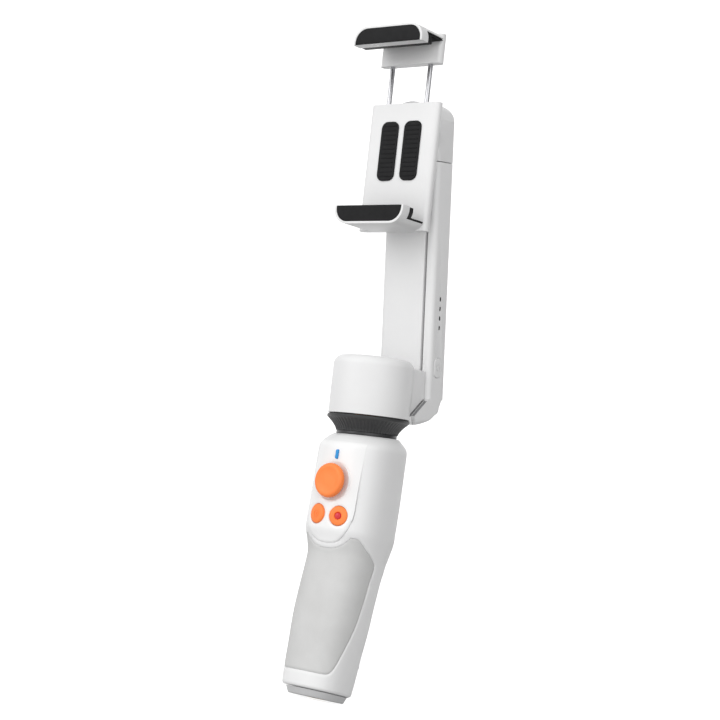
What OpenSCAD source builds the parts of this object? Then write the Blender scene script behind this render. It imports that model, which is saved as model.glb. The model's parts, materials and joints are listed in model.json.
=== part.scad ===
// Two-axis folding phone stabilizer: handle, pan drum, folding extendable arm, roll motor and clamp.
// Millimetres. The origin is on the flat base, at the mouth of the tripod thread, +Z up the grip.
// The controls face -Y, +X is the side of the power button.

/* [Grip] */
// Height of the pan stage's seat above the base
pan_z = 118.9; // [110:0.1:130]
// How far the pan stage's seat lies behind the grip's centre line (negative is in front)
pan_y = -6.5; // [-10:0.1:0]
// Forward lean of the pan axis against the grip
pan_lean = 10; // [6:0.5:12]
// Half width of the grip at its base
grip_half_w = 13.6; // [13:0.1:15]
// Half width of the head, where the controls are
head_half_w = 17.8; // [17:0.1:19]
// Wall thickness of the handle shells
wall = 1.8; // [1.5:0.1:2.4]
// Height of the bevelled foot
foot_h = 2.9; // [2.5:0.1:5]
// Squareness of the handle's cross-section (2 is an ellipse)
section_power = 2.6; // [2.2:0.1:3.5]

/* [Controls] */
// Diameter of the joystick cap
joy_d = 14.4; // [12:0.1:15]
// Distance of the joystick below the pan stage's seat
joy_drop = 28.9; // [26:0.1:32]
// Diameter of the two round buttons
button_d = 8.2; // [7:0.1:9]
// Distance between the two round buttons
button_pitch = 10.7; // [9.6:0.1:12]
// Distance of the buttons below the pan stage's seat
button_drop = 43; // [41:0.1:45]
// Half width of the control panel
panel_half_w = 12; // [11:0.1:13]

/* [Pan stage] */
// Diameter of the pan drum
drum_d = 34.6; // [30:0.1:38]
// Height of the pan drum
drum_h = 25.4; // [20:0.1:28]
// Radius of the drum's top edge
drum_round = 4.2; // [2:0.1:5]
// Height of the ribbed collar
collar_h = 6.7; // [6:0.1:10]
// Diameter of the collar where it meets the neck ring
collar_low_d = 26.4; // [22:0.1:30]

/* [Arm] */
// Width of the arm
arm_w = 27.6; // [24:0.1:32]
// Depth of the arm, front to back
arm_depth = 12.8; // [11:0.1:16]
// Forward lean of the arm against the pan axis
arm_lean = 6.5; // [0:0.5:8]
// Distance of the fold hinge behind the pan axis
hinge_y = 30; // [29:0.1:32]
// Height of the fold hinge above the pan stage's seat
hinge_z = 6; // [5:0.1:8]
// Length of the arm housing above the hinge
housing_len = 108; // [90:1:115]
// Width of the sliding front panel
rod_w = 22.6; // [20:0.1:24]
// Thickness of the sliding front panel
rod_t = 5.4; // [4:0.1:6]

/* [Clamp] */
// Height of the roll axis above the pan stage's seat
roll_z = 123.3; // [115:0.1:130]
// Opening between the jaws
jaw_gap = 78.4; // [70:0.1:88]
// Width of the jaws
jaw_w = 36; // [30:0.5:40]
// Diameter of the roll motor
roll_d = 30; // [26:0.1:32]

/* [Hidden] */

$fn = 64;
slip = 0.15;     // clearance between pieces that slide
seam = 0.3;      // gap between pieces of different bodies

white = "whitesmoke";
shade = "lightgray";
dark = "dimgray";
black = [0.08, 0.08, 0.09];
orange = "coral";

// ---- handle sections ------------------------------------------------------
// Each ring of the handle is [centre y, centre z, lean, half width, half depth, squareness].
neck_z = -8.3;         // top of the handle, in the pan frame
top_y = pan_y - neck_z * sin(pan_lean);
top_z = pan_z + neck_z * cos(pan_lean);
rings = [
    [-1.2, foot_h, 0, grip_half_w - 0.8, 12.6, section_power],
    [-1.3, foot_h + 1.2, 0, grip_half_w, 13.4, section_power],
    [-1.5, 20, 0, 14.5, 14.2, section_power],
    [-1.5, 34, 0, 15.2, 14.8, section_power],
    [-0.9, 50, 0, 15.3, 14.9, section_power],
    [-0.3, 58, 0, 15.6, 15.1, section_power],
    [-0.7, 63.5, 1, 16.6, 16.1, section_power],
    [-1.7, 69.5, 3, head_half_w, 17.3, section_power],
    [-3.0, 83.5, 6, head_half_w, 17.2, section_power],
    [-4.1, 94, 8, head_half_w - 0.1, 17.1, section_power],
    [-5.2, 104.6, pan_lean, head_half_w - 0.3, 17.0, section_power],
    [-5.3, 106, pan_lean, head_half_w - 0.6, 16.8, section_power],
    [top_y - 0.3, top_z - 1.2, pan_lean, 15.0, 14.8, 2.2],
    [top_y, top_z, pan_lean, 13.9, 13.9, 2]];
ring_points = 48;

// One point of a ring, grown or shrunk by grow.
function ring_point(r, i, grow) =
    let (a = 360 * i / ring_points, c = cos(a), s = sin(a), e = 2 / r[5],
         x = (r[3] + grow) * sign(c) * pow(abs(c), e),
         d = (r[4] + grow) * sign(s) * pow(abs(s), e))
    [x, r[0] + d * cos(r[2]), r[1] + d * sin(r[2])];

// A closed loft through a list of rings.
module loft(list, grow = 0) {
    last = len(list) - 1;
    n = ring_points;
    points = [for (r = list) for (i = [0 : n - 1]) ring_point(r, i, grow)];
    sides = [for (k = [0 : last - 1]) for (i = [0 : n - 1])
        let (j = (i + 1) % n)
        each [[k * n + i, (k + 1) * n + i, (k + 1) * n + j], [k * n + i, (k + 1) * n + j, k * n + j]]];
    floor_face = [for (i = [0 : n - 1]) i];
    top_face = [for (i = [n - 1 : -1 : 0]) last * n + i];
    polyhedron(points, concat([floor_face], sides, [top_face]), convexity = 6);
}

// Rings between two indices, each with its squareness and place kept.
function part_rings(first, last) = [for (k = [first : last]) rings[k]];

// ---- frames ---------------------------------------------------------------
module at_pan() { translate([0, pan_y, pan_z]) rotate([pan_lean, 0, 0]) children(); }
module at_hinge() { at_pan() translate([0, hinge_y, hinge_z]) rotate([arm_lean, 0, 0]) children(); }
module at_roll() { at_pan() translate([0, 0, roll_z]) children(); }

// A cylinder along Y that starts at y0 and ends at y1.
module y_rod(d, y0, y1) { translate([0, y1, 0]) rotate([90, 0, 0]) cylinder(d = d, h = y1 - y0); }

// A cylinder along X, centred.
module x_rod(d, length) { rotate([0, 90, 0]) cylinder(d = d, h = length, center = true); }

// A plate drawn in X and Z and pushed from y0 to y1.
module y_plate(y0, y1) { translate([0, y1, 0]) rotate([90, 0, 0]) linear_extrude(y1 - y0) children(); }

// A profile drawn in Y and Z and pushed from x0 to x1.
module x_plate(x0, x1) { translate([x0, 0, 0]) rotate([90, 0, 90]) linear_extrude(x1 - x0) children(); }

module round_rect(w, h, r) {
    translate([-w / 2 + r, -h / 2 + r]) offset(r) square([w - 2 * r, h - 2 * r]);
}

// ---- handle ---------------------------------------------------------------
split_y = 6.5;                     // plane between the front shell and the rear cover
control_lean = 6;                  // lean of the head's front face against the base's axis
control_front = 17.2;              // front of the head, ahead of its centre line
panel_rise = 0.5;                  // how far the panel stands proud of the shell
panel_t = 1.4;
inlay_t = 1.3;

function head_centre_y(z) = lookup(z, [for (r = rings) [r[1], r[0]]]);
// Rear surface of the handle at height z and distance x from its middle.
function rear_y(x, z) =
    let (a = lookup(z, [for (r = rings) [r[1], r[3]]]), b = lookup(z, [for (r = rings) [r[1], r[4]]]))
    head_centre_y(z) + b * pow(1 - pow(x / a, section_power), 1 / section_power);
joy_gap = 0.85;                    // room for the cap to tilt
joy_z = pan_z - joy_drop * cos(pan_lean) - 17 * sin(pan_lean);
button_z = pan_z - button_drop * cos(pan_lean) - 17 * sin(pan_lean);
light_z = pan_z - 17.5 * cos(pan_lean) - 17 * sin(pan_lean);
front_y = function (z) head_centre_y(z) - control_front;

module handle_solid(grow = 0) { loft(rings, grow); }

floor_z = foot_h + 2.8;            // inside floor of the handle
roof_z = neck_z - 2.2;             // inside roof, in the pan frame
module handle_cavity() {
    intersection() {
        loft(rings, -wall);
        translate([-40, -40, floor_z]) cube([80, 80, 120]);
        at_pan() translate([-60, -60, roof_z - 200]) cube([120, 120, 200]);
    }
}

// Front outline of the control panel: a tall U with a round lower end.
panel_low_z = 62.3;                // lowest point of the panel
panel_arc_z = 76.5;                // where its round end starts
module panel_outline(grow = 0) {
    w = panel_half_w + grow;
    drop = panel_arc_z - panel_low_z + grow;
    steps = 20;
    polygon(concat([[w, pan_z + 10], [-w, pan_z + 10]],
        [for (i = [0 : steps]) let (a = 180 + 180 * i / steps)
            [w * sign(cos(a)) * pow(abs(cos(a)), 0.8), panel_arc_z + drop * sin(a)]]));
}

// Side outline of the soft inlay.
inlay_low_z = 9.6;
module inlay_outline() {
    polygon([[-40, inlay_low_z], [-11.2, inlay_low_z], [-9.6, 11.4], [-7.6, 18], [-4.1, 30], [-2.3, 40],
        [-1, 50], [-0.3, 56.2], [-1.1, 57.8], [-9, 62.6], [-12.6, 65.2], [-13.4, 65.8], [-40, 65.8]]);
}

module inlay_shape() {
    intersection() {
        difference() {
            handle_solid(0);
            loft(part_rings(0, 12), -inlay_t);
        }
        x_plate(-30, 30) inlay_outline();
        difference() {
            translate([-40, -60, 0]) cube([80, 90, 90]);
            y_plate(-60, 0) panel_outline(2);
        }
    }
}

module panel_shape(grow = 0) {
    intersection() {
        difference() {
            loft(part_rings(4, 12), panel_rise);
            loft(part_rings(4, 12), panel_rise - panel_t);
        }
        y_plate(-60, -8) panel_outline(grow);
        translate([-40, -60, 0]) cube([80, 60, top_z - 6.2]);
    }
}

module control_holes(clear = slip) {
    at_front(joy_z) y_rod(joy_d + 2 * joy_gap, -6, 6);
    for (side = [-1, 1]) at_button(side) y_rod(button_d + 2 * clear, -6, 5);
    at_front(light_z) y_plate(-6, 6) round_rect(light_w + clear, light_h + clear, light_w / 2);
}

// Children with y = 0 on the front face at height z, -Y outward.
module at_front(z) { translate([0, front_y(z), z]) rotate([control_lean, 0, 0]) children(); }
button_turn = 14;                  // each button faces this far to its own side
module at_button(side) {
    translate([side * button_pitch / 2, front_y(button_z) + 0.7, button_z])
        rotate([control_lean, 0, side * button_turn]) children();
}

module handle_body() {
    difference() {
        handle_solid();
        handle_cavity();
        inlay_shape();
        panel_shape();
        control_holes(0.8);
        slider_hole();
        socket_hole();
        screw_places() y_rod(screw_d, -8, 3);
        translate([0, 0, -1]) cylinder(d = 9.4, h = 12);
        at_pan() translate([0, 0, -16]) cylinder(d = 12.4, h = 20);
    }
}

module handle_shell() {
    color(white) intersection() {
        handle_body();
        translate([-40, -60, 0]) cube([80, 60 + split_y, 200]);
    }
}

module rear_cover() {
    color(white) intersection() {
        handle_body();
        translate([-40, split_y + 0.05, 0]) cube([80, 60, 200]);
    }
}

module control_panel() { color("snow") difference() { panel_shape(-0.05); control_holes(); } }

module grip_inlay() { color(shade) inlay_shape(); }

module base_foot() {
    foot = [[-0.6, 0, 0, 10.6, 10.3, section_power], [-0.7, 0.5, 0, 11.1, 10.8, section_power],
        [-1.0, foot_h - 0.05, 0, 12.0, 11.7, section_power]];
    color(shade) difference() {
        loft(foot);
        translate([0, 0, -1]) cylinder(d = insert_d, h = foot_h + 2);
    }
}

insert_d = 9;
thread_d = 5.2;                    // minor diameter of the quarter-inch thread
insert_h = 9;
module tripod_insert() {
    color("goldenrod") difference() {
        union() {
            cylinder(d = insert_d, h = insert_h);
            translate([0, 0, floor_z]) cylinder(d = insert_d + 3, h = 1.4);
        }
        translate([0, 0, -1]) cylinder(d = thread_d, h = 7 + 1);
    }
}

cell_d = 18.2;
cell_h = 50;
module battery() { color("steelblue") translate([0, 0.8, 11.6]) cylinder(d = cell_d, h = cell_h); }

module main_board() {
    color("seagreen") translate([0, -1.2, 84]) rotate([7, 0, 0]) {
        cube([18.6, 1.2, 32], center = true);
        for (z = [-10, 2]) translate([3, 1.3, z]) cube([8, 1.4, 7], center = true);
    }
}

socket_z = 70;
module at_left(z) { translate([-head_half_w, head_centre_y(z), z]) rotate([control_lean, 0, 0]) children(); }
module socket_hole() {
    at_left(socket_z + 3) translate([4, 0, 0]) rotate([0, 0, 90]) y_plate(-2, 9) round_rect(5.0, 10.6, 2.3);
}
module usb_socket() {
    color("silver") at_left(socket_z + 3) translate([0.7, 0, 0]) rotate([0, 0, 90]) difference() {
        y_plate(-7.4, 0) round_rect(4.6, 10.2, 2.1);
        y_plate(-5.8, 1) round_rect(3.2, 8.8, 1.5);
    }
}

light_w = 1.2;
light_h = 3.9;
module status_light() {
    color("dodgerblue") at_front(light_z) y_plate(-0.55, 2.4)
        round_rect(light_w, light_h, light_w / 2 - 0.05);
}

screw_d = 2.4;
screw_x = 9;
module screw_places() {
    for (x = [-screw_x, screw_x]) for (z = [16, 96]) translate([x, rear_y(screw_x, z), z]) children();
}
module shell_screws() { color("gray") screw_places() y_rod(screw_d, -3.8, -0.2); }

// Joystick: a cap on a stick that tilts on a cross yoke inside a square module.
stick_y = 6;                       // tilt centre, behind the front face
module joystick_module() {
    color(dark) at_front(joy_z) difference() {
        translate([0, stick_y + 1.4, 0]) cube([13, 6.4, 13], center = true);
        translate([0, stick_y - 0.4, 0]) cube([10.4, 5.8, 10.4], center = true);
        translate([0, stick_y, 0]) x_rod(1.6 + 0.1, 20);
    }
}

module joystick_yoke() {
    color("gray") at_front(joy_z) translate([0, stick_y, 0]) difference() {
        union() {
            x_rod(1.6, 12.6);
            x_rod(4.6, 6.4);
        }
        cube([3.4, 8, 8], center = true);
    }
    color("gray") at_front(joy_z) translate([0, stick_y, 0]) cylinder(d = 1.2, h = 3.9, center = true);
}

cap_base = 1.1;                    // underside of the joystick's cap, in front of the face
module joystick_cap() {
    color(orange) at_front(joy_z) rotate([90, 0, 0]) difference() {
        union() {
            translate([0, 0, cap_base]) rotate_extrude() joystick_profile();
            translate([0, 0, -stick_y - 1]) cylinder(d = 2.4, h = stick_y + 1 + cap_base + 0.5);
        }
        translate([0, 0, -stick_y]) rotate([90, 0, 0]) cylinder(d = 1.3, h = 10, center = true);
    }
}

module joystick_profile() {
    r = joy_d / 2;
    polygon([[0, 0], [r - 1.2, 0], [r - 0.3, 0.5], [r, 1.4], [r - 0.5, 2.3], [r - 1.8, 2.8], [r - 3.4, 2.5],
        [r - 5, 2.4], [2, 2.7], [0, 2.8]]);
}

module button_shape(d) {
    r = d / 2;
    rotate([90, 0, 0]) rotate_extrude()
        polygon([[0, -2.2], [r + 0.5, -2.2], [r + 0.5, -1.6], [r, -1.6], [r, 0.9],
            [r - 0.5, 1.4], [0, 1.55]]);
}
module mode_button() { color(orange) at_button(-1) button_shape(button_d); }
dot_d = 3;
module record_button() {
    color(orange) at_button(1) difference() { button_shape(button_d); y_rod(dot_d, -3, -0.9); }
}
module record_dot() { color("red") at_button(1) y_rod(dot_d, -1.65, -0.9); }

slider_z = 88;
module at_slider() { at_left(slider_z) children(); }
module slider_hole() {
    at_slider() translate([3, 0, 0]) rotate([0, 0, 90]) y_plate(-2, 8) round_rect(6.6, 19, 3.2);
}
module zoom_slider() {
    color(dark) at_slider() {
        translate([-0.9, 0, 0]) rotate([0, 0, 90]) y_plate(-3.6, 0) round_rect(5.8, 11, 2.8);
        translate([3.1, 0, 0]) cube([1.2, 8.6, 13], center = true);
        for (z = [-3 : 1.5 : 3]) translate([-1.0, 0, z]) rotate([90, 0, 0])
            cylinder(d = 0.8, h = 4.4, center = true);
    }
}

// ---- pan stage (pan frame) --------------------------------------------------
drum_r = drum_d / 2;
collar_r = drum_r + 0.1;
low_r = collar_low_d / 2;
tube_r = 6;                        // stator tube
bearing_r = 4.2;
shaft_r = 2;
run = 0.05;                        // running clearance on a radius

module neck_ring() {
    color(black) at_pan() difference() {
        translate([0, 0, neck_z + 0.05]) cylinder(r = low_r - 0.3, h = -neck_z - collar_h - 0.05);
        translate([0, 0, neck_z - 1]) cylinder(r = tube_r, h = 4);
    }
}

lip_h = 1.4;                       // plain lip above the collar's flare
function flare(t) = [low_r + (collar_r - low_r) * pow(t, 1.5), -collar_h + (collar_h - lip_h) * t];
module ribbed_collar() {
    color(dark) at_pan() rotate_extrude() polygon(concat(
        [[tube_r, -collar_h], [low_r, -collar_h]],
        [for (i = [1 : 8]) flare(i / 8)],
        [[collar_r, -0.3], [collar_r - 0.3, 0], [collar_r - 2.4, 0], [collar_r - 2.4, -1.2],
            [tube_r, -1.2]]));
}

core_r = 12.6;                     // outside of the stator's core
slot_count = 9;
module pan_stator() {
    color("peru") at_pan() difference() {
        union() {
            translate([0, 0, roof_z - 2.4]) cylinder(r = tube_r, h = 12 + 2.4 - roof_z);
            translate([0, 0, roof_z - 2.4]) cylinder(r = 11, h = 2.4);
            translate([0, 0, 3.5]) cylinder(r = core_r, h = 8);
        }
        for (i = [0 : slot_count - 1]) rotate([0, 0, i * 360 / slot_count])
            translate([core_r - 1.6, 0, 3]) cylinder(r = 1.9, h = 9);
        translate([0, 0, roof_z - 5]) cylinder(r = bearing_r, h = 40);
    }
}

module bearing(r_out, r_in, h) {
    difference() {
        cylinder(r = r_out, h = h);
        translate([0, 0, -1]) cylinder(r = r_in, h = h + 2);
    }
}

module pan_bearings() {
    color("silver") at_pan() for (z = [neck_z - 2, 8]) translate([0, 0, z]) bearing(bearing_r, shaft_r, 3);
}

drum_roof = drum_h - 3.6;          // inside roof of the drum
module pan_shaft() {
    color("silver") at_pan() translate([0, 0, neck_z - 3])
        cylinder(r = shaft_r - run, h = drum_roof - neck_z + 3);
}

module pan_rotor() {
    color("gray") at_pan() difference() {
        translate([0, 0, 2.6]) cylinder(r = drum_r - 2.1, h = 13.4);
        translate([0, 0, 1]) cylinder(r = 13.1, h = 13);
        translate([0, 0, 1]) cylinder(r = shaft_r - run, h = 20);
    }
}

module pan_housing() {
    r = drum_r;
    f = drum_round;
    color(white) at_pan() difference() {
        rotate_extrude() polygon(concat([[0, seam], [r - 0.3, seam], [r, seam + 0.3]],
            [for (i = [0 : 6]) let (a = 15 * i) [r - f + f * cos(a), drum_h - f + f * sin(a)]],
            [[0, drum_h]]));
        translate([0, 0, -1]) cylinder(r = r - 2, h = drum_roof + 1);
    }
}

// Bracket on the drum's back and the rounded heel below it, which carries the fold hinge.
half_arm = arm_w / 2;
front_v = -6.75;                   // arm's front face, in the arm's frame
back_v = front_v + arm_depth;
knuckle_r = 3;
fold_v = 1.5;                      // fold axis, in the arm's frame
fold_w = 1.7;
end_w = fold_w + knuckle_r + seam; // arm's lower end
lug_half = 6;
pin_r = 1.2;
bracket_half = 12;
web_half = 10.8;                   // half width of the web between bracket and heel
heel_big_r = 13.6;                 // outer radius of the heel
heel_v = -8.24;                    // centre of that radius
heel_w = 8.99;

cheek_x = bracket_half + 0.3;      // the arm's cheeks cover the heel from here outwards
cheek_reach = 18;                  // radius of the cheeks about the fold axis

module at_fold() { at_hinge() translate([0, fold_v, fold_w]) children(); }

function heel_arc(from) = [for (a = [from : -7 : -90])
    [heel_v + heel_big_r * cos(a), heel_w + heel_big_r * sin(a)]];

// Side outline of the heel, in the arm's frame.
module heel_profile() {
    polygon(concat([[front_v - 0.6, end_w - seam]],
        [for (a = [90 : -12 : -66]) [fold_v + knuckle_r * cos(a), fold_w + knuckle_r * sin(a)]],
        heel_arc(-66), [[-14.5, -5.4], [-18.3, -5], [-18.4, -3]]));
}

// Side outline of the arm's cheeks: the arm's end runs on into the heel's large round.
module cheek_profile() {
    intersection() {
        polygon(concat([[front_v - 0.6, end_w - seam], [front_v + 0.8, end_w + 0.3],
            [back_v - 1.4, end_w + 0.3]], heel_arc(-17), [[-14.5, -5.4], [-18.3, -5], [-18.4, -3]]));
        translate([fold_v, fold_w]) circle(r = cheek_reach);
    }
}

// Side outline of the bracket, in the pan frame: its lower edge runs along the heel, a gap above it.
module bracket_profile() {
    polygon([[10, 2.4], [12.36, 2.4], [21.6, 10.5], [22.35, 10.9], [20.97, 22.8], [10, 22.8]]);
}
module web_profile() {
    polygon([[10, 0.6], [12.3, 0.6], [22.1, 9.6], [22.2, 11], [12, 12], [10, 12]]);
}

module hinge_base() {
    color(white) difference() {
        union() {
            at_hinge() x_plate(-bracket_half, bracket_half) heel_profile();
            at_pan() x_plate(-bracket_half, bracket_half) bracket_profile();
            at_pan() x_plate(-web_half, web_half) web_profile();
        }
        at_pan() cylinder(r = drum_r + 0.01, h = 40);
        at_pan() translate([0, 0, -20]) cylinder(r = collar_r + 0.35, h = 20 + seam);
        at_fold() {
            translate([-lug_half - seam, -knuckle_r - 0.4, -20]) cube([2 * (lug_half + seam), 30, 40]);
            x_rod(2 * pin_r + 0.02, 2 * cheek_x);
            for (s = [-1, 1]) translate([s * (lug_half + seam), 0, 0]) x_rod(2 * washer_r + 0.2, 0.6);
        }
    }
}

module hinge_pin() { color("silver") at_fold() x_rod(2 * pin_r, 2 * bracket_half); }

washer_r = 2.4;
module hinge_washers() {
    color("black") at_fold() for (s = [-1, 1]) translate([s * (lug_half + seam / 2 + 0.14) - 0.25, 0, 0])
        rotate([0, 90, 0]) bearing(washer_r, pin_r + run, 0.5);
}

// ---- arm (in its own frame: v is Y, w is Z) ----------------------------------
rod_right = -half_arm + rod_w;     // right edge of the sliding panel
groove = 1;                        // gap between the panel and the housing's right wall
rod_low = 15.2;                    // lower end of the sliding panel
bed_v = front_v + rod_t;           // plane behind the panel
tongue_half = 7;
tongue_mid = -2.6;                 // middle of the tongue
cover_t = 1.4;

module arm_section() {
    difference() {
        arm_outline();
        // seat of the panel, open to the front and left
        translate([-half_arm - 1, front_v - 1]) square([rod_w + groove + 1, rod_t + slip + 1]);
        // track for the panel's tongue
        translate([tongue_mid - tongue_half - slip, bed_v - 1]) square([2 * (tongue_half + slip), 3.2]);
        translate([tongue_mid - tongue_half - 2 - slip, bed_v + 1.2])
            square([2 * (tongue_half + 2 + slip), 1.6]);
        // room for the board
        translate([-half_arm + 2, bed_v + 3.6]) square([arm_w - 4, back_v - cover_t - bed_v - 3.6]);
        translate([rod_right + groove + 1.6, front_v + 2])
            square([half_arm - rod_right - groove - 3.2, arm_depth - 2 - cover_t - 0.1]);
        // back opening, closed by the cover
        translate([-half_arm + 1.6, back_v - cover_t]) square([arm_w - 3.2, 4]);
    }
}

arm_corner = 2.6;
module arm_outline() { translate([0, (front_v + back_v) / 2]) round_rect(arm_w, arm_depth, arm_corner); }

// Side outline of the arm's lower end.
module end_profile() {
    polygon([[front_v - 1, end_w], [back_v - 1.3, end_w], [back_v - 0.75, end_w + 3],
        [back_v, end_w + 6], [back_v, 40], [front_v - 1, 40]]);
}

module arm_housing() {
    color(white) at_hinge() difference() {
        union() {
            translate([0, 0, rod_low - 1.2]) linear_extrude(housing_len - rod_low + 1.2) arm_section();
            // closed lower end, rounded at the back
            intersection() {
                translate([0, 0, end_w]) linear_extrude(rod_low - end_w - 0.3) arm_outline();
                x_plate(-20, 20) end_profile();
            }
            translate([0, fold_v, fold_w]) x_rod(2 * knuckle_r, 2 * lug_half);
            translate([-lug_half, fold_v - knuckle_r, fold_w])
                cube([2 * lug_half, 2 * knuckle_r, end_w - fold_w + 1]);
            for (s = [-1, 1]) translate([s * (cheek_x + half_arm) / 2, 0, 0])
                x_plate(-(half_arm - cheek_x) / 2, (half_arm - cheek_x) / 2) cheek_profile();
        }
        translate([0, fold_v, fold_w]) x_rod(2 * (pin_r + run), 2 * cheek_x);
        lights_and_button(slip);
    }
}

module arm_cover() {
    color("snow") at_hinge() translate([-half_arm + 1.65, back_v - cover_t, rod_low + 1])
        cube([arm_w - 3.3, cover_t - 0.2, housing_len - rod_low - 3]);
}

module arm_board() {
    color("seagreen") at_hinge() translate([rod_right + groove + 1.7, back_v - cover_t - 3.6, 18])
        cube([0.6, 3.3, 40]);
}

light_pitch = 4.15;
light_w0 = 36.5;
button_w = 19.2;
side_v = -0.6;                     // line of the lights and the button on the arm's side
// Children with y = 0 on the arm's right side at height w, -Y outward.
module on_side(w) { translate([half_arm, side_v, w]) rotate([0, 0, 90]) children(); }
module lights_and_button(grow) {
    for (i = [0 : 3]) on_side(light_w0 + light_pitch * i)
        y_plate(-2, 2.4) round_rect(1.0 + grow, 1.8 + grow, 0.45);
    on_side(button_w) y_plate(-1, 2.4) round_rect(5.4 + 2 * grow, 8.6 + 2 * grow, 2.6);
}
module battery_lights() {
    color(dark) at_hinge() for (i = [0 : 3]) on_side(light_w0 + light_pitch * i)
        y_plate(-0.05, 1.4) round_rect(1.0, 1.8, 0.45);
}
module power_button() {
    color(white) at_hinge() on_side(button_w) {
        y_plate(-0.25, 1.2) round_rect(5.4, 8.6, 2.6);
        y_plate(1.2, 1.8) round_rect(3, 5, 1.4);
    }
}

// Sliding front panel with its tongue, and the head that carries the roll motor.
head_w0 = housing_len + 0.4;
head_w1 = 134;
module extension_rod() {
    color(white) difference() {
        at_hinge() translate([0, 0, rod_low]) linear_extrude(head_w0 - rod_low) rod_section();
        at_roll() y_rod(roll_d - 2 + 2 * run, 0, 14.3);
    }
}

// Panel and T-shaped tongue, with the seats of the guide strips.
module rod_section() {
    intersection() {
        arm_outline();
        translate([-half_arm, front_v]) square([rod_w, rod_t]);
    }
    translate([tongue_mid - tongue_half, bed_v - 0.1]) square([2 * tongue_half, 2.05]);
    translate([tongue_mid - tongue_half - 2, bed_v + 1.4]) difference() {
        square([2 * (tongue_half + 2), 1.2]);
        for (x = pad_places) translate([x, 1.2 - pad_sink]) square([pad_w, 1]);
    }
}

// Low-friction strips let into the back of the tongue.
pad_w = 2;
pad_sink = 0.6;
pad_inset = 2.5;
pad_places = [pad_inset, 2 * tongue_half + 4 - pad_inset - pad_w];
module guide_pads() {
    color(black) at_hinge() for (x = pad_places)
        translate([tongue_mid - tongue_half - 2 + x, bed_v + 2.6 - pad_sink, rod_low])
            cube([pad_w, pad_sink + 0.1, 40]);
}

roll_face = 8.9;                   // front of the fixed half of the roll motor, in the roll frame
module rod_head() {
    color(white) difference() {
        union() {
            at_hinge() intersection() {
                translate([0, 0, head_w0]) linear_extrude(head_w1 - head_w0) arm_outline();
                y_plate(-20, 20) translate([0, head_w0 + 6])
                    round_rect(arm_w, 2 * (head_w1 - head_w0) - 12, 11);
            }
            at_roll() y_rod(roll_d - 2, roll_face, 14);
        }
        at_roll() y_rod(roll_d - 6, roll_face - 1, 15);
        at_roll() y_rod(roll_d + 1, -10, roll_face);
    }
}

module roll_stator() {
    color("peru") at_roll() difference() {
        union() {
            y_rod(17, roll_face + 0.4, 15);
            y_rod(22.4, roll_face + 1, roll_face + 4.6);
        }
        y_rod(2 * bearing_r, roll_face - 1, 20);
    }
}

module roll_bearing() {
    color("silver") at_roll() translate([0, 13.4, 0]) rotate([90, 0, 0]) bearing(bearing_r, shaft_r, 3.4);
}

// ---- roll rotor and clamp (roll frame) -----------------------------------------
body_y0 = 1.0;
body_y1 = 5.3;
module roll_housing() {
    color(shade) at_roll() difference() {
        y_rod(roll_d, body_y1 + 0.02, roll_face - seam);
        y_rod(roll_d - 4, body_y1 + 1.8, roll_face + 1);
        y_rod(2 * (shaft_r - run), 0, 20);
    }
}
module roll_shaft() { color("silver") at_roll() y_rod(2 * (shaft_r - run), body_y1 + 0.02, 14.2); }

jaw_in = jaw_gap / 2;              // inner face of each jaw, from the roll axis
jaw_out = jaw_in + 3.6;
lip_in = jaw_in - 4.3;
lip_y = -16.2;                     // front of the lips
shell_t = 4.8;
grip_y = lip_y + shell_t;
phone_y = -7.8;                    // plane that the phone's front lies in
rod_x = 10;
rod_y = 3.1;
rod_r = 1.1;

// D-shaped face of a jaw, flat towards the gap, drawn for the lower jaw.
module jaw_face_outline(inset) {
    w = jaw_w - 2 * inset;
    intersection() {
        translate([0, -(jaw_out - inset) + 8]) round_rect(w, 16, 6.4 - inset / 2);
        translate([-w, -jaw_out]) square([2 * w, jaw_out - lip_in]);
    }
}

module jaw_shell() {
    difference() {
        union() {
            y_plate(lip_y, grip_y) jaw_face_outline(0);
            intersection() {
                y_plate(grip_y - 1, body_y0) jaw_face_outline(0);
                translate([-30, -30, -jaw_out - 1]) cube([60, 60, jaw_out - jaw_in - 0.9 + 1]);
            }
        }
        y_plate(lip_y - 1, lip_y + 0.6) jaw_face_outline(0.9);
    }
}
module jaw_face() { y_plate(lip_y - 0.05, lip_y + 0.6) jaw_face_outline(0.95); }
module jaw_grip() {
    intersection() {
        y_plate(grip_y, phone_y) jaw_face_outline(0.5);
        translate([-30, -30, -jaw_in - 0.9]) cube([60, 60, 20]);
    }
    intersection() {
        y_plate(phone_y - 0.1, body_y0 - 0.1) jaw_face_outline(0.5);
        translate([-30, -30, -jaw_in - 0.9]) cube([60, 60, 0.9]);
    }
}

module clamp_body() {
    color(white) at_roll() difference() {
        union() {
            translate([0, 0, -10]) linear_extrude(2 * 22 + 2, center = true)
                translate([0, (body_y0 + body_y1) / 2]) round_rect(jaw_w, body_y1 - body_y0, 2);
            translate([0, 0, -jaw_out]) linear_extrude(jaw_out - 30)
                translate([0, (body_y0 + body_y1) / 2]) round_rect(jaw_w, body_y1 - body_y0, 2);
        }
        for (s = [-1, 1]) translate([s * rod_x, rod_y, -30]) cylinder(r = rod_r + run, h = 60);
        for (s = [-1, 1]) translate([s * rod_x, rod_y, -28]) cylinder(r = 1.7, h = 24);
    }
}

module clamp_pad() {
    color(black) at_roll() for (x = [-6, 6]) y_plate(0.4, body_y0) translate([x, -8]) round_rect(9, 26, 3);
}

module lower_jaw() { color(white) at_roll() jaw_shell(); }
module lower_jaw_face() { color(black) at_roll() jaw_face(); }
module lower_jaw_grip() { color(black) at_roll() jaw_grip(); }

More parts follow.
